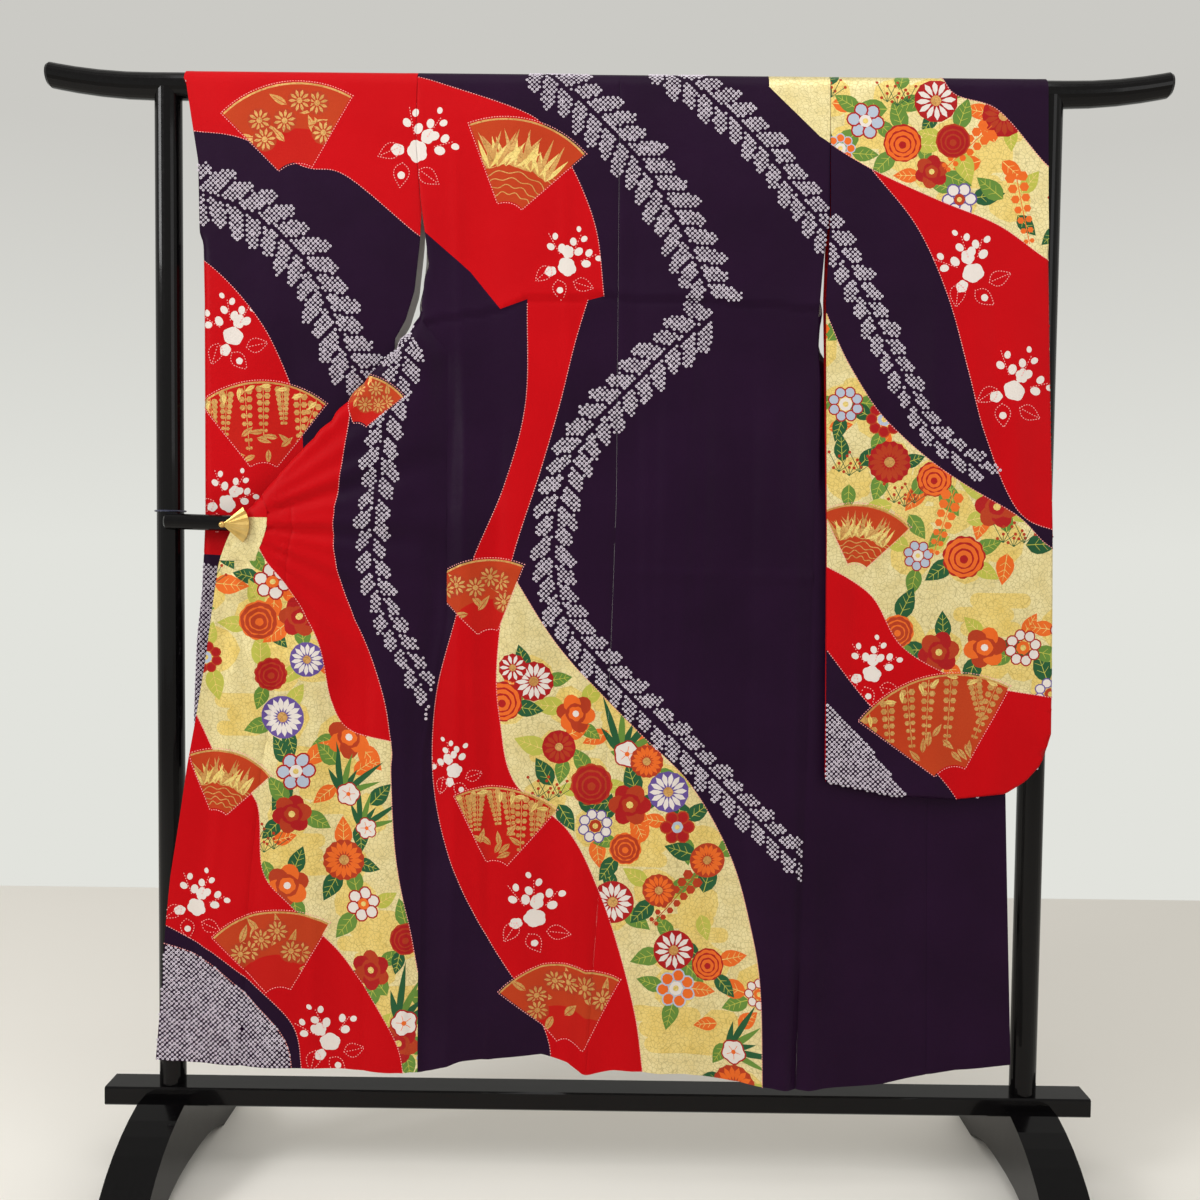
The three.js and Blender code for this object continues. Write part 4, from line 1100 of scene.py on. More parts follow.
b_red = BODY.lay(red_body, "red")
b_gold = BODY.lay(gold_body, "gold")
for x, y, w, h in ((-60, 700, 60, 20), (60, 560, 80, 22), (150, 420, 60, 22), (120, 270, 90, 24),
                   (20, 780, 40, 18)):
    mist(BODY, x, y, w, h, "mist", b_gold)
made = garden(BODY, gold_body, b_gold, 57, 11, keep_off=[(-260, -86, 828, 1010)],
              only=lambda p: np.abs(p[:, 0] + (p[:, 1] - 560) * 0.62 - 70) < 118)
for edge in (strip_right, strip_left, body_red_right, gold_right):
    BODY.stitches.append((edge, None))
fan(BODY, (-272, -87, 1535, 1690), "fan", 34, 14, 2, 4)
fan(BODY, (-238, -88, 831, 1006), "fan", 33, -12, 0, 6)
fan(BODY, (-252, -93, 462, 649), "fanred", 33, 8, 1, 8)
fan(BODY, (-124, 68, 190, 362), "fan", 38, -10, 0, 9)
kiku(BODY, -139, 838, 22, "white", "crimson", 10)
resist_group(BODY, -61, 1462, 0.86, 5, b_red)
resist_group(BODY, -229, 676, 0.72, 6, b_red)
resist_group(BODY, -101, 440, 1.0, 7, b_red)
resist_group(BODY, -296, 1640, 1.0, 8, b_red)
kanoko_band(BODY, [(-120, 1790), (-60, 1735), (-10, 1690), (62, 1612), (118, 1520), (160, 1425)], 92)
kanoko_band(BODY, [(176, 1392), (120, 1352), (54, 1293), (-38, 1185), (-75, 1066), (-66, 941), (-3, 847),
                   (124, 721), (252, 594), (352, 508), (385, 485)], 84, ends=(1, 0.62))
k2 = [(70, 1800), (110, 1762), (165, 1722), (233, 1662), (296, 1580), (359, 1495), (407, 1405), (452, 1308),
      (508, 1212), (588, 1150)]
kanoko_band(BODY, k2, 70, ends=(1.15, 0.6))
BODY.lay(dense([(250, 1745), (329, 1669), (412, 1617), (470, 1590), (470, 1860), (250, 1860)]), "gold")
print("body:", len(BODY.items), "motifs,", len(BODY.dots), "dot fields,", made, "flowers in the gold")

# %% The sleeves' share of the drawing
SL = Design()
l_red = SL.lay(dense(np.vstack([sleeve_red_foot, [(-270, 1880), (-700, 1880)]])), "red")
l_red2 = SL.lay(dense(np.vstack([curve([(-690, 1496), (-642, 1477), (-587, 1431), (-533, 1362), (-494, 1276),
                                        (-478, 1222), (-474, 1100)]),
                                 [(-520, 1016), (-600, 1008), (-690, 1012)]])), "red")
SL.stitches += [(sleeve_red_foot, None), (curve([(-690, 1496), (-642, 1477), (-587, 1431), (-533, 1362),
                                                 (-494, 1276), (-478, 1222)]), None)]
fan(SL, (-568, -366, 1612, 1744), "fan", 37, -8, 0, 12)
fan(SL, (-636, -439, 1140, 1282), "fanred", 38, 0, 1, 13)
resist_group(SL, -296, 1640, 1.0, 8, l_red)
resist_group(SL, -584, 1352, 0.9, 14, l_red2)
resist_group(SL, -596, 1090, 0.8, 15, l_red2)
kanoko_band(SL, [(-690, 1575), (-649, 1578), (-571, 1550), (-509, 1509), (-462, 1455), (-431, 1393),
                 (-407, 1331), (-376, 1285), (-330, 1240)], 92, ends=(1.1, 0.9))
kanoko_field(SL, dense([(-700, 1000), (-590, 990), (-560, 860), (-560, 640), (-700, 640)]))

SR = Design()
gold_top = curve([(235, 1757), (256, 1737), (329, 1669), (412, 1617), (513, 1571), (606, 1533), (677, 1484),
                  (720, 1462)])
red_curve = curve([(412, 1615), (480, 1530), (529, 1424), (563, 1301), (588, 1208), (637, 1092), (700, 1060),
                   (720, 1052)])
gold_curve = curve([(320, 1430), (336, 1406), (377, 1315), (440, 1223), (534, 1146), (636, 1084), (684, 1040),
                    (720, 1022)])
gold_low = curve([(320, 1012), (339, 1005), (414, 959), (462, 881), (541, 834), (595, 819), (689, 804),
                  (720, 800)])
red_low = curve([(320, 900), (341, 881), (417, 787), (512, 693), (552, 646), (570, 610)])
r_red = SR.lay(dense(np.vstack([red_curve, gold_top[gold_top[:, 0] > 412][::-1]])), "red")
corner = [(520, 1860), (527, 1747), (605, 1712), (679, 1629), (720, 1600)]
gold_top_field = dense(np.vstack([gold_top, [(720, 1600)], curve(corner)[::-1], [(235, 1860)]]))
r_gold = SR.lay(gold_top_field, "gold")
gold_low_field = dense(np.vstack([gold_curve, gold_low[::-1]]))
r_gold2 = SR.lay(gold_low_field, "gold")
r_red2 = SR.lay(dense(np.vstack([gold_low, [(720, 600)], red_low[::-1]])), "red")
for x, y, w, h, f in ((420, 1680, 60, 20, r_gold), (560, 1620, 60, 20, r_gold), (400, 1260, 50, 22, r_gold2),
                      (480, 1060, 60, 24, r_gold2), (600, 930, 70, 22, r_gold2), (380, 1140, 40, 20, r_gold2)):
    mist(SR, x, y, w, h, "mist", f)
garden(SR, gold_top_field, r_gold, 56, 21, only=lambda p: p[:, 1] < 1745)
garden(SR, gold_low_field, r_gold2, 58, 23, keep_off=[(300, 462, 915, 1100)],
       only=lambda p: (p[:, 0] < 470) | (p[:, 1] > 1000) | (p[:, 1] < 930))
SR.stitches += [(gold_top, None), (red_curve, None), (gold_curve, None), (gold_low, None), (red_low, None),
                (curve(corner), None)]
fan(SR, (318, 453, 915, 1098), "fan", 36, 10, 2, 25)
fan(SR, (455, 690, 654, 835), "fan", 40, -14, 1, 26)
resist_group(SR, 568, 1458, 0.95, 27, r_red)
resist_group(SR, 632, 1276, 0.95, 28, r_red)
resist_group(SR, 419, 836, 0.8, 29, r_red2)
kanoko_band(SR, k2, 70, ends=(1.15, 0.6))
kanoko_field(SR, dense(np.vstack([curve([(320, 822), (342, 803), (403, 740), (474, 649), (490, 620)]),
                                  [(320, 620)]])))
print("sleeves:", len(SL.items), len(SR.items), "motifs")

# %% The drawn-out left front
FL = Design()
red_gold = curve([(-600, 1110), (-554, 1079), (-529, 1010), (-492, 963), (-442, 878), (-423, 784),
                  (-396, 738), (-330, 721)])
red_purple = curve([(-396, 1300), (-393, 1250), (-408, 1142), (-419, 1049), (-408, 971), (-369, 878),
                    (-338, 784), (-330, 721)])
gold_purple = curve([(-330, 721), (-321, 546), (-297, 419), (-265, 274), (-209, 219), (-200, 160)])
f_low = curve([(-740, 812), (-650, 783), (-604, 689), (-541, 625), (-530, 514), (-486, 459), (-399, 371),
               (-320, 251), (-304, 160)])
f_low2 = curve([(-740, 440), (-675, 418), (-565, 347), (-486, 274), (-470, 202), (-468, 160)])
f_corner = curve([(-740, 402), (-691, 394), (-628, 370), (-549, 307), (-494, 242), (-483, 160)])
FL.lay(dense(np.vstack([red_purple, red_gold[::-1], [(-1100, 1110), (-1100, 1300)]])), "red")
gold_front = dense(np.vstack([red_gold, gold_purple[1:], f_low[::-1], [(-740, 1110)]]))
f_gold = FL.lay(gold_front, "gold")
f_red2 = FL.lay(dense(np.vstack([f_low, f_low2[::-1]])), "red")
for x, y, w, h in ((-500, 860, 50, 20), (-560, 760, 50, 22), (-420, 640, 70, 24), (-470, 540, 60, 22),
                   (-360, 420, 60, 22), (-330, 300, 60, 24)):
    mist(FL, x, y, w, h, "mist", f_gold)
garden(FL, gold_front, f_gold, 60, 31, keep_off=[(-690, -600, 640, 800)])
FL.stitches += [(red_gold, None), (red_purple, None), (f_low, None), (f_low2, None), (gold_purple, None),
                (f_corner, None)]
fan(FL, (-676, -543, 500, 703), "fan", 34, 14, 2, 33)
fan(FL, (-585, -400, 285, 449), "fan", 38, -8, 0, 34)
fan(FL, (-440, -336, 1130, 1290), "fan", 34, 16, 0, 35)
resist_group(FL, -636, 452, 0.85, 36, f_red2)
resist_group(FL, -425, 243, 0.9, 37, f_red2)
kanoko_band(FL, [(-300, 1370), (-318, 1300), (-339, 1220), (-354, 1096), (-359, 1003), (-330, 909),
                 (-268, 790), (-255, 760)], 62, ends=(1.1, 0.7))
kanoko_field(FL, dense(np.vstack([f_corner, [(-740, 160)]])))
# on the far side a band of red with blossom crosses towards the collar
f_hid = FL.lay(dense([(-297, 1745), (-400, 1745), (-560, 1560), (-640, 1400), (-700, 1300), (-620, 1300),
                      (-500, 1400), (-400, 1540), (-297, 1640)]), "red")
resist_group(FL, -470, 1560, 0.8, 38, f_hid)
FR = Design()
fr_red = FR.lay(dense([(345, 1745), (430, 1745), (600, 1560), (700, 1380), (760, 1250), (640, 1250),
                       (560, 1400), (450, 1560), (345, 1650)]), "red")
FR.lay(dense([(430, 1745), (520, 1745), (660, 1600), (760, 1450), (760, 1250), (700, 1380), (600, 1560)]),
       "gold")
resist_group(FR, 500, 1560, 0.8, 39, fr_red)
kanoko_band(FR, [(330, 1500), (400, 1380), (480, 1250), (560, 1130)], 70)
print("fronts:", len(FL.items), len(FR.items), "motifs")

# %% [markdown]
# ## Cutting and hanging each piece
# Every piece's outline is drawn in its own flat map. The body lengths have two maps that meet behind the
# bar: the back, which goes up and over, and the front, whose width is measured along its plan-view line.

# %% The two body lengths and the overlap panels
UP = np.arange(200, BAR_Z, 6.0)
OVER_ROWS = np.linspace(BAR_Z, TOP, 13)
JOIN = np.linspace(0, 1, 36)


def front_edge(side, z, part):
    n = NET[side]
    length = np.interp(z, n["z"], n["all"])
    main, rim = shares(side, z, length)
    t = {"side": 0 * length, "main": main, "over": rim}[part]
    return np.interp(z, n["z"], n["xs"]) + n["s"] * length * t


def back_outline(side):
    s = SIGN[side]
    V = np.concatenate([UP, OVER_ROWS])
    w = np.clip((V - BAR_Z) / OVER, 0, 1) * math.pi - math.pi / 2
    edge = table(SIDE[side], np.where(V > BAR_Z, CREST, V))
    mid = table(CENTRE, np.minimum(V, CREST)) + soft((w - 0.74) / 0.42) * s * NECK + s * 0.15 * (V < TOP - 1)
    low = np.linspace(edge[0], mid[0], 46)[1:-1]
    top = lerp(edge[-1], mid[-1], JOIN)[1:-1]
    loop = [(x, v) for x, v in zip(edge[::-1], V[::-1])] + [(x, 200) for x in low] + [(x, v) for x,
            v in zip(mid, V)] + [(x, TOP) for x in top[::-1]]
    return np.array(loop)


def front_outline(side, part):
    s = SIGN[side]
    g = 0.16 * s
    if part == "main":
        z = np.concatenate([UP, [1700.0, 1722.0, BAR_Z]])
        z = np.unique(z)
        a, b = front_edge(side, z, "side"), front_edge(side, z, "main") - g
        b[-1] += g
    else:
        z = np.unique(np.concatenate([UP[UP < COLLAR_END - 2], [COLLAR_END - 0.8, COLLAR_END + 0.8],
                                      UP[(UP > COLLAR_END + 2) & (UP < KENSAKI - 3)], [KENSAKI - 0.5]]))
        a, b = front_edge(side, z, "main") + g, front_edge(side, z, "over") - g * (z > COLLAR_END)
    n = max(4, int(abs(b[0] - a[0]) / 6))
    low = np.linspace(a[0], b[0], n)[1:-1]
    top = lerp(a[-1], b[-1], JOIN)[1:-1] if part == "main" else []
    loop = [(x, v) for x, v in zip(a[::-1], z[::-1])] + [(x, z[0]) for x in low] + [(x, v) for x,
            v in zip(b, z)] + [(x, z[-1]) for x in top[::-1]]
    return np.array(loop)


def make(outline, design, base, surface, fine=None, step=7.4):
    pts, tris, dyes = cut(outline, design, base, step, fine)
    a, b, c = pts[tris[:, 0]], pts[tris[:, 1]], pts[tris[:, 2]]
    turn = (b[:, 0] - a[:, 0]) * (c[:, 1] - a[:, 1]) - (b[:, 1] - a[:, 1]) * (c[:, 0] - a[:, 0])
    tris[turn < 0] = tris[turn < 0][:, ::-1]
    return pts, surface(pts[:, 0], pts[:, 1]), tris, dyes


CLOTH = {}
for side, design in (("left", FL), ("right", FR)):
    back = make(back_outline(side), BODY, "purple", lambda X, V: surface_back(side, X, V))
    seen = (lambda p: (p[:, 1] < 1420) & (np.abs(p[:, 0]) > 240)) if side == "left" else (lambda p: p[:,
            1] < 830)
    front = make(front_outline(side, "main"), design, "purple", lambda X, z: surface_front(side, X, z), seen)
    CLOTH["body_" + side] = cloth("body_length_" + side, [back, front])
    over = make(front_outline(side, "over"), design, "purple", lambda X, z: surface_front(side, X, z), seen)
    CLOTH["okumi_" + side] = cloth("overlap_panel_" + side, [over])

# %% The sleeves
def sleeve_outline(side):
    S = SLEEVE[side]
    x_in, x_out = S["foot"][-1 if side == "left" else 0][0], S["foot"][0 if side == "left" else -1][0]
    z_in, z_out = float(table(S["foot"], x_in)), float(table(S["foot"], x_out))
    zi = np.concatenate([np.arange(z_in, BAR_Z, 6.0), [BAR_Z]])
    zo = np.concatenate([np.arange(z_out, BAR_Z, 6.0), [BAR_Z]])
    up = lambda z, rows: [(float(table(S[rows], v)), v) for v in z]
    mid = OVER_ROWS[1:-1]
    inner = up(zi, "inner") + [(float(table(S["inner"], BAR_Z)), v) for v in mid] + [(x, BAR_Z + TOP - v)
            for x, v in up(zi, "inner")[::-1]]
    outer = up(zo, "outer") + [(float(table(S["outer"], BAR_Z)), v) for v in mid] + [(x, BAR_Z + TOP - v)
            for x, v in up(zo, "outer")[::-1]]
    inner[0], inner[-1] = (x_in, z_in), (x_in, BAR_Z + TOP - z_in)
    outer[0], outer[-1] = (x_out, z_out), (x_out, BAR_Z + TOP - z_out)
    xs = np.linspace(x_out, x_in, 60)[1:-1]
    foot = [(x, float(table(S["foot"], x))) for x in xs]
    far_foot = [(x, BAR_Z + TOP - v) for x, v in foot]
    return np.array(inner[::-1] + foot[::-1] + outer + far_foot)


def both_sides(D, side):
    """The whole sleeve's design: the near side's, and its mirror image for the far side."""
    S = SLEEVE[side]
    centre = (S["foot"][0][0] + S["foot"][-1][0]) / 2
    flip = lambda p: np.stack([2 * centre - p[:, 0], BAR_Z + TOP - p[:, 1]], 1)[::-1]
    E = Design()
    for poly, dye, within in D.items:
        E.lay(poly, dye, within)
    n = len(D.items)
    for poly, dye, within in D.items:
        q = above(flip(poly), TOP + 4)
        size = abs(poly[:, 0] @ np.roll(poly[:, 1], 1) - poly[:, 1] @ np.roll(poly[:, 0], 1)) / 2
        # too small to show there
        if q is None or size < 12 or (len(poly) < 40 and flip(poly)[:, 1].min() < TOP + 4):
            q = flip(poly) + [0, 9000]
        E.lay(q, dye, None if within is None else within + n)
    E.dots = D.dots + [flip(p) for p in D.dots if p[:, 1].max() < BAR_Z]
    E.clear = D.clear + [flip(p) for p in D.clear]
    E.stitches = D.stitches + [(flip(p), w) for p, w in D.stitches if p[:, 1].max() < BAR_Z]
    return E


for side, design in (("left", SL), ("right", SR)):
    whole = both_sides(design, side)
    part = make(sleeve_outline(side), whole, "purple", lambda X, V: surface_sleeve(side, X, V),
                lambda p: p[:, 1] < BAR_Z + 30)
    CLOTH["sleeve_" + side] = cloth("sleeve_cloth_" + side, [part], "lining" if side == "left"
                                    else "lining_red")

# %% The collar
def collar_rows():
    def one(side):
        s = SIGN[side]
        rows = []
        for z in [COLLAR_END + 0.8, *np.arange(1008, 1720, 12.0)]:
            a = float(front_edge(side, np.array([float(z)]), "over")[0]) + 0.35 * s
            b = np.interp(z, NET[side]["z"], NET[side]["xs"]) + s * np.interp(z, NET[side]["z"],
                    NET[side]["all"])
            X = np.linspace(a, b, 7)
            x, y, zz = surface_front(side, X, np.full(7, float(z)))
            puff = 1.5 * np.sin(np.linspace(0, math.pi, 7)) ** 0.6
            rows.append(np.stack([x, y, zz], 1) + np.array([0, 1, 0]) * puff[:, None] * (z > 1420))
        return rows

    def on(r, t, x):
        return (x, r * math.sin(t), BAR_Z + r * math.cos(t))

    ring = []
    for k in np.linspace(-1, 1, 21):
        a = math.pi / 4 + math.pi / 8 * abs(k) + 0.045
        x, xf = MID + k * (NECK - 0.9), MID + k * (NECK - COLLAR_W)
        four = np.array([on(RB, a, x), on(RB, max(a + 0.15, 1.3), lerp(x, xf, 0.3)),
                         (lerp(x, xf, 0.65), RB + 1.4, 1732), (xf, RB + 3, 1706)])
        ring.append(np.stack([np.interp(np.linspace(0, 3, 7), range(4), four[:, j]) for j in range(3)], 1))
    return one("left") + ring + one("right")[::-1]


rows = collar_rows()
grid_pts = np.array(rows)
R_, C_ = grid_pts.shape[:2]
idx = np.arange(R_ * C_).reshape(R_, C_)
quads = np.stack([idx[:-1, :-1], idx[:-1, 1:], idx[1:, 1:], idx[1:, :-1]], -1).reshape(-1, 4)
tris = np.vstack([quads[:, [0, 1, 2]], quads[:, [0, 2, 3]]])
P = grid_pts.reshape(-1, 3)
n = np.cross(P[tris[:, 1]] - P[tris[:, 0]], P[tris[:, 2]] - P[tris[:, 0]])
if n[:, 1].sum() < 0:
    tris = tris[:, ::-1]
run = np.concatenate([[0], np.cumsum(np.linalg.norm(np.diff(grid_pts[:, 3], axis=0), axis=1))])
flatmap = np.stack([np.tile(np.linspace(0, COLLAR_W, C_), R_), np.repeat(run, C_)], 1)
at = np.repeat(run, C_)[tris[:, 0]]
bands = np.where(at < 75, ID["gold"], np.where(at < 240, ID["red"],
                                               np.where(at % 520 < 130, ID["red"], ID["purple"])))
CLOTH["collar"] = cloth("collar_band", [(flatmap, tuple(P.T), tris, bands)])

# %% [markdown]
# ## Tied dots and stitches
# Kanoko is tied one pinch at a time: each knot leaves a small raised ring, white with a dark middle, on a
# diagonal grid. There are thousands, so a Geometry Nodes tree places one low-poly ring on every point of a
# cloud and turns it to the cloth. A second tree sets short stitches along the edges of the motifs.

# %% Geometry Nodes helpers
def new_tree(name, inputs):
    tree = bpy.data.node_groups.new(name, "GeometryNodeTree")
    tree.interface.new_socket("Geometry", in_out="INPUT", socket_type="NodeSocketGeometry")
    ids = {}
    for label, kind, value in inputs:
        s = tree.interface.new_socket(label, in_out="INPUT", socket_type="NodeSocket" + kind)
        if value is not None:
            s.default_value = value
        ids[label] = s.identifier
    tree.interface.new_socket("Geometry", in_out="OUTPUT", socket_type="NodeSocketGeometry")
    gin, gout = tree.nodes.new("NodeGroupInput"), tree.nodes.new("NodeGroupOutput")
    return tree, ids, gin, gout, adder(tree)


def grown(obj, tree, ids, values, name):
    """Runs the tree on obj and returns the plain mesh object that it makes."""
    m = obj.modifiers.new("grow", "NODES")
    m.node_group = tree
    for k, v in values.items():
        m[ids[k]] = v
    bpy.context.view_layer.update()
    mesh = bpy.data.meshes.new_from_object(obj.evaluated_get(bpy.context.evaluated_depsgraph_get()))
    made = bpy.data.objects.new(name, mesh)
    bpy.context.scene.collection.objects.link(made)
    bpy.data.objects.remove(obj)
    return made


def cloud(name, points, normals, edges=()):
    mesh = bpy.data.meshes.new(name)
    mesh.from_pydata((points / 1000).tolist(), [tuple(e) for e in edges], [])
    up = mesh.attributes.new("up", "FLOAT_VECTOR", "POINT")
    up.data.foreach_set("vector", normals.astype(np.float32).ravel())
    obj = bpy.data.objects.new(name, mesh)
    bpy.context.scene.collection.objects.link(obj)
    return obj


# %% The ring tree and the stitch tree
ring_mesh = bpy.data.meshes.new("tied_ring")
RING = 6
ra = np.linspace(0, 2 * math.pi, RING, endpoint=False) + math.pi / 6
sq = 1 / np.maximum(np.abs(np.cos(ra)), np.abs(np.sin(ra))) ** 0.35
verts = [(sq[i] * math.cos(a), sq[i] * math.sin(a), 0.0) for i,
         a in enumerate(ra)] + [(0.62 * math.cos(a), 0.62 * math.sin(a), 0.42)
                                for a in ra] + [(0.3 * math.cos(a), 0.3 * math.sin(a), 0.1) for a in ra]
ring_mesh.from_pydata(verts, [], [(k * RING + i, k * RING + (i + 1) % RING, (k + 1) * RING + (i + 1) % RING,
                                   (k + 1) * RING + i) for k in range(2) for i in range(RING)])
ring_obj = bpy.data.objects.new("tied_ring", ring_mesh)
bpy.context.scene.collection.objects.link(ring_obj)

ring_tree, ring_ids, gin, gout, add = new_tree("tied_dots", [("Ring", "Object", None),
                                                             ("Size", "Float", 0.0023), ("Seed", "Int", 4),
                                                             ("Dye", "Material", None)])
up = add("GeometryNodeInputNamedAttribute", {"Name": "up"}, data_type="FLOAT_VECTOR")
turn = add("FunctionNodeAlignRotationToVector", {"Vector": up.outputs["Attribute"]}, axis="Z")
spin = add("FunctionNodeRandomValue", {"Seed": gin.outputs["Seed"], 2: 0.8, 3: 1.15}, data_type="FLOAT")
size = add("ShaderNodeMath", {0: spin.outputs[1], 1: gin.outputs["Size"]}, operation="MULTIPLY")
info = add("GeometryNodeObjectInfo", {"Object": gin.outputs["Ring"]})
place = add("GeometryNodeInstanceOnPoints", {"Points": gin.outputs["Geometry"],
                                             "Instance": info.outputs["Geometry"],
                                             "Rotation": turn.outputs[0], "Scale": size.outputs[0]})
solid = add("GeometryNodeRealizeInstances", {"Geometry": place.outputs[0]})
dye = add("GeometryNodeSetMaterial", {"Geometry": solid.outputs[0], "Material": gin.outputs["Dye"]})
ring_tree.links.new(dye.outputs[0], gout.inputs[0])

stitch_tree, stitch_ids, gin, gout, add = new_tree("running_stitches",
                                                   [("Gap", "Float", 0.0034), ("Length", "Float", 0.0021),
                                                    ("Width", "Float", 0.0014), ("Seed", "Int", 9),
                                                    ("Dye", "Material", None)])
lines = add("GeometryNodeMeshToCurve", {"Mesh": gin.outputs["Geometry"]})
even = add("GeometryNodeResampleCurve", {"Curve": lines.outputs[0], "Length": gin.outputs["Gap"]},
           mode="LENGTH")
up = add("GeometryNodeInputNamedAttribute", {"Name": "up"}, data_type="FLOAT_VECTOR")
tangent = add("GeometryNodeInputTangent")
turn1 = add("FunctionNodeAlignRotationToVector", {"Vector": up.outputs["Attribute"]}, axis="Z")
turn2 = add("FunctionNodeAlignRotationToVector", {"Rotation": turn1.outputs[0], "Vector": tangent.outputs[0]},
            axis="X", pivot_axis="Z")
bead = add("GeometryNodeMeshIcoSphere", {"Radius": 0.5, "Subdivisions": 1})
jitter = add("FunctionNodeRandomValue", {"Seed": gin.outputs["Seed"], 2: 0.8, 3: 1.2}, data_type="FLOAT")
long = add("ShaderNodeMath", {0: jitter.outputs[1], 1: gin.outputs["Length"]}, operation="MULTIPLY")
scale = add("ShaderNodeCombineXYZ", {0: long.outputs[0], 1: gin.outputs["Width"], 2: 0.0007})
place = add("GeometryNodeInstanceOnPoints", {"Points": even.outputs[0], "Instance": bead.outputs[0],
                                             "Rotation": turn2.outputs[0], "Scale": scale.outputs[0]})
solid = add("GeometryNodeRealizeInstances", {"Geometry": place.outputs[0]})
dye = add("GeometryNodeSetMaterial", {"Geometry": solid.outputs[0], "Material": gin.outputs["Dye"]})
stitch_tree.links.new(dye.outputs[0], gout.inputs[0])


# %% Sewing them on
DYES["kanoko"] = silk("tied_silk_white", rgb(212, 202, 214), rgb(228, 220, 230), 0.62, 0.1, 0.1, map_name=None)
DYES["bead"] = silk("stitch_silk", rgb(236, 150, 150), rgb(245, 180, 172), 0.6, 0.1, 0.1, map_name=None)


def in_space(surface, p):
    """Points and unit normals of the hung cloth at map points."""
    a, b, c = (np.stack(surface(p[:, 0] + dx, p[:, 1] + dz), 1) for dx, dz in ((0, 0), (1.2, 0), (0, 1.2)))
    n = np.cross(b - a, c - a)
    return a, n / np.maximum(np.linalg.norm(n, axis=1), 1e-9)[:, None]


def tied_dots(name, charts, pitch=5.4):
    pts, nrm = [], []
    for outline, design, surface in charts:
        for field in design.dots:
            if (field.max(0) < outline.min(0)).any() or (field.min(0) > outline.max(0)).any():
                continue
            lo, hi = field.min(0), field.max(0)
            k = pitch / math.sqrt(2)
            i = np.arange(math.floor(lo[0] / k), math.ceil(hi[0] / k) + 1)
            j = np.arange(math.floor(lo[1] / k), math.ceil(hi[1] / k) + 1)
            I, J = np.meshgrid(i, j)
            m = (I + J) % 2 == 0
            p = np.stack([I[m] * k, J[m] * k], 1).astype(float)
            p = p[inside(field, p)]
            if not len(p):
                continue
            p = p[inside(outline, p)]
            for hole in design.clear:
                p = p[~inside(hole, p)]
            if len(p):
                q = p + rng.normal(0, 0.22, p.shape)
                a, b = in_space(surface, q)
                pts.append(a + b * 0.15)
                nrm.append(b)
    if not pts:
        return None
    pts, nrm = np.vstack(pts), np.vstack(nrm)
    keep = np.unique(np.round(pts / 3.2).astype(int), axis=0, return_index=True)[1]
    made = grown(cloud(name, pts[keep], nrm[keep]), ring_tree, ring_ids,
                 {"Ring": ring_obj, "Size": 0.0023, "Seed": 4, "Dye": DYES["kanoko"]}, name)
    print(f"{name}: {len(keep)} rings, {len(made.data.polygons) * 2} triangles")
    return made


def stitches(name, charts):
    pts, nrm, edges, base = [], [], [], 0
    for outline, design, surface in charts:
        for line, within in design.stitches:
            if (line.max(0) < outline.min(0)).any() or (line.min(0) > outline.max(0)).any():
                continue
            p = evenly(line, 3.0)
            ok = inside(outline, p)
            if within is not None:
                ok &= inside(design.items[within][0], p)
            for hole in design.clear:
                over = inside(hole, p)
                if over.mean() < 0.9:
                    ok &= ~over
            if ok.sum() < 2:
                continue
            q = p[ok]
            at = np.nonzero(ok)[0]
            a, b = in_space(surface, q)
            pts.append(a + b * 0.25)
            nrm.append(b)
            link = np.nonzero((np.diff(at) == 1) & (np.hypot(*np.diff(q, axis=0).T) < 4))[0]
            edges += [(base + i, base + i + 1) for i in link]
            base += len(q)
    if not edges:
        return None
    made = grown(cloud(name, np.vstack(pts), np.vstack(nrm), edges), stitch_tree, stitch_ids,
                 {"Gap": 0.0042, "Length": 0.0028, "Width": 0.0017, "Seed": 9, "Dye": DYES["bead"]}, name)
    print(f"{name}: {len(made.data.polygons)} triangles")
    return made


EXTRA = {}
for side, design, sdesign in (("left", FL, SL), ("right", FR, SR)):
    back = (back_outline(side), BODY, lambda X, V, side=side: surface_back(side, X, V))
    main = (front_outline(side, "main"), design, lambda X, z, side=side: surface_front(side, X, z))
    over = (front_outline(side, "over"), design, lambda X, z, side=side: surface_front(side, X, z))
    whole = (sleeve_outline(side), both_sides(sdesign, side), lambda X, V,
             side=side: surface_sleeve(side, X, V))
    for key, charts in (("body_" + side, [back, main]), ("okumi_" + side, [over]), ("sleeve_" + side, [whole])):
        EXTRA[key] = [o for o in (tied_dots("tied_dots_" + key, charts), stitches("stitches_" + key, charts))
                      if o]
bpy.data.objects.remove(ring_obj)

# %% [markdown]
# ## Lacquer, gilt and cord
# The stand keeps its frame shapes. Black lacquer is glassy: almost no colour, a sharp clear coat, and the
# faintest ripple from polishing by hand.

# %% Finishes of the stand
def lacquer():
    mat, tree, shader, add = nodes_of("black_lacquer")
    at = add("TexCoord").outputs["Object"]
    slow = add("TexNoise", {"Vector": at, "Scale": 9.0, "Detail": 2.0})
    dust = add("TexNoise", {"Vector": at, "Scale": 160.0, "Detail": 4.0, "Roughness": 0.7})
    colour = mixed(add, dust.outputs[0], rgb(5, 4, 5), rgb(10, 9, 10))
    r = add("MapRange", {"Value": dust.outputs[0], "From Min": 0.35, "From Max": 0.75, "To Min": 0.1,
                         "To Max": 0.2})
    b = add("Bump", {"Height": slow.outputs[0], "Strength": 0.25, "Distance": 0.003})
    plug(tree, shader, {"Base Color": colour, "Roughness": r.outputs[0], "Normal": b.outputs[0],
                        "Specular IOR Level": 0.12, "Coat Weight": 0.12, "Coat Roughness": 0.05})
    return mat


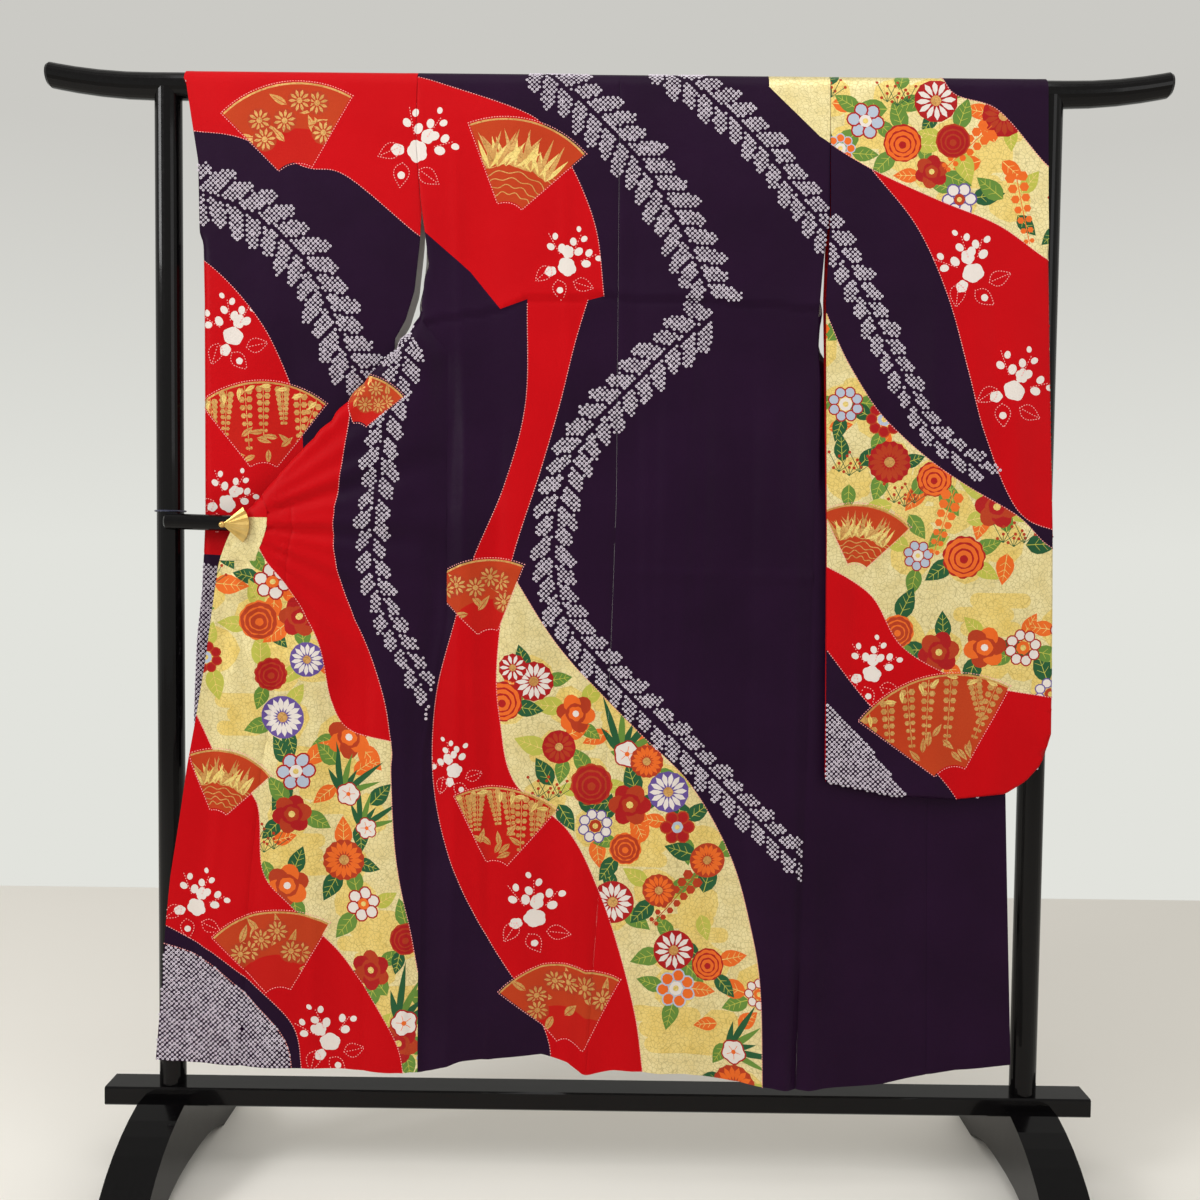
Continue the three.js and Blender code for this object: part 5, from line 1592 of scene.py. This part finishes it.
def gilt():
    mat, tree, shader, add = nodes_of("gilt_metal")
    at = add("TexCoord").outputs["Object"]
    slow = add("TexNoise", {"Vector": at, "Scale": 60.0, "Detail": 3.0})
    colour = mixed(add, slow.outputs[0], rgb(200, 160, 78), rgb(226, 194, 124))
    r = add("MapRange", {"Value": slow.outputs[0], "To Min": 0.22, "To Max": 0.4})
    grain = add("TexNoise", {"Vector": at, "Scale": 700.0})
    b = add("Bump", {"Height": grain.outputs[0], "Strength": 0.2, "Distance": 0.0004})
    plug(tree, shader, {"Base Color": colour, "Roughness": r.outputs[0], "Normal": b.outputs[0],
                        "Metallic": 1.0})
    return mat


def twisted_cord():
    mat, tree, shader, add = nodes_of("navy_cord")
    at = add("TexCoord").outputs["Object"]
    twist_relief_and_shade = add("TexWave", {"Vector": at, "Scale": 260.0, "Distortion": 2.0}, wave_type="BANDS",
                bands_direction="DIAGONAL")
    # painted shade and painted highlight: the colour follows the same bands as the bump, darker in the grooves of the
    # twist and lighter on its crests
    colour = mixed(add, twist_relief_and_shade.outputs["Fac"], rgb(14, 18, 44), rgb(36, 44, 84))
    b = add("Bump", {"Height": twist_relief_and_shade.outputs["Fac"], "Strength": 0.8, "Distance": 0.0008})
    plug(tree, shader, {"Base Color": colour, "Normal": b.outputs[0], "Roughness": 0.75, "Sheen Weight": 0.3})
    return mat


finish_of = {"gilt": gilt(), "cord": twisted_cord(), "lacquer": lacquer()}
for node, obj in frame["nodes"].items():
    if node.split("_")[0] in ("body", "okumi", "sleeve", "collar"):
        continue
    kind = "gilt" if node == "fan_clip" else "cord" if node.startswith("tie") else "lacquer"
    for i in range(max(1, len(obj.material_slots))):
        if obj.material_slots:
            obj.material_slots[i].material = finish_of[kind]
        else:
            obj.data.materials.append(finish_of[kind])

# %% [markdown]
# ## Riding and the studio
# Each piece now hides the frame node that it stands for and rides on the frame's root body, with its tied dots and
# stitches.

# %% What each piece stands for
for node, obj in CLOTH.items():
    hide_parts(node)
    for o in (obj, *EXTRA.get(node, [])):
        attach(o, "root")

# %% Floor, backdrop and light
def stage_sheet():
    """A plain paper floor; what stands beyond it is the pale air of the studio."""
    vs = [(x, y, -0.0005) for x in (-7, 7) for y in (-7, 1.6)]
    mesh = bpy.data.meshes.new("studio_floor")
    mesh.from_pydata(vs, [], [(0, 2, 3, 1)])
    obj = bpy.data.objects.new("studio_floor", mesh)
    bpy.context.scene.collection.objects.link(obj)
    mat, tree, shader, add = nodes_of("studio_paper")
    at = add("TexCoord").outputs["Object"]
    paper = mixed(add, add("TexNoise", {"Vector": at, "Scale": 1.2}).outputs[0], rgb(239, 235, 228),
                  rgb(243, 239, 232))
    plug(tree, shader, {"Base Color": paper, "Roughness": 0.9})
    mesh.materials.append(mat)


def lamp(name, place, target, size, watts):
    data = bpy.data.lights.new(name, "AREA")
    data.shape, data.size, data.size_y, data.energy = "RECTANGLE", size[0], size[1], watts
    obj = bpy.data.objects.new(name, data)
    obj.location = place
    obj.rotation_euler = (Vector(target) - Vector(place)).to_track_quat("-Z", "Y").to_euler()
    bpy.context.scene.collection.objects.link(obj)


stage_sheet()
lamp("key_left", (-3.0, -2.0, 2.7), (0, 0, 1.0), (1.2, 1.2), 60)
lamp("key_right", (2.7, -2.6, 2.2), (0, 0, 1.0), (1.6, 1.6), 14)
lamp("overhead", (0, -1.1, 3.3), (0, 0.0, 0.2), (2.6, 1.4), 24)
world = bpy.data.worlds.new("studio_air")
bpy.context.scene.world = world
world.use_nodes = True
air = world.node_tree
way = air.nodes.new("ShaderNodeTexCoord")
split = air.nodes.new("ShaderNodeSeparateXYZ")
overhead_shade = air.nodes.new("ShaderNodeMapRange")
overhead_shade.inputs["From Min"].default_value, overhead_shade.inputs["From Max"].default_value = 0.0, 0.3
# painted shade: the backdrop's colour is darker towards the top, where a studio wall falls away from the lamps' light
tone = air.nodes.new("ShaderNodeMix")
tone.data_type = "RGBA"
tone.inputs[6].default_value, tone.inputs[7].default_value = rgb(226, 227, 221), rgb(203, 202, 197)
air.links.new(way.outputs["Generated"], split.inputs[0])
air.links.new(split.outputs["Z"], overhead_shade.inputs["Value"])
air.links.new(overhead_shade.outputs[0], tone.inputs[0])
air.links.new(tone.outputs[2], air.nodes["Background"].inputs[0])
air.nodes["Background"].inputs[1].default_value = 1.0
bpy.context.scene.view_settings.view_transform = "Standard"
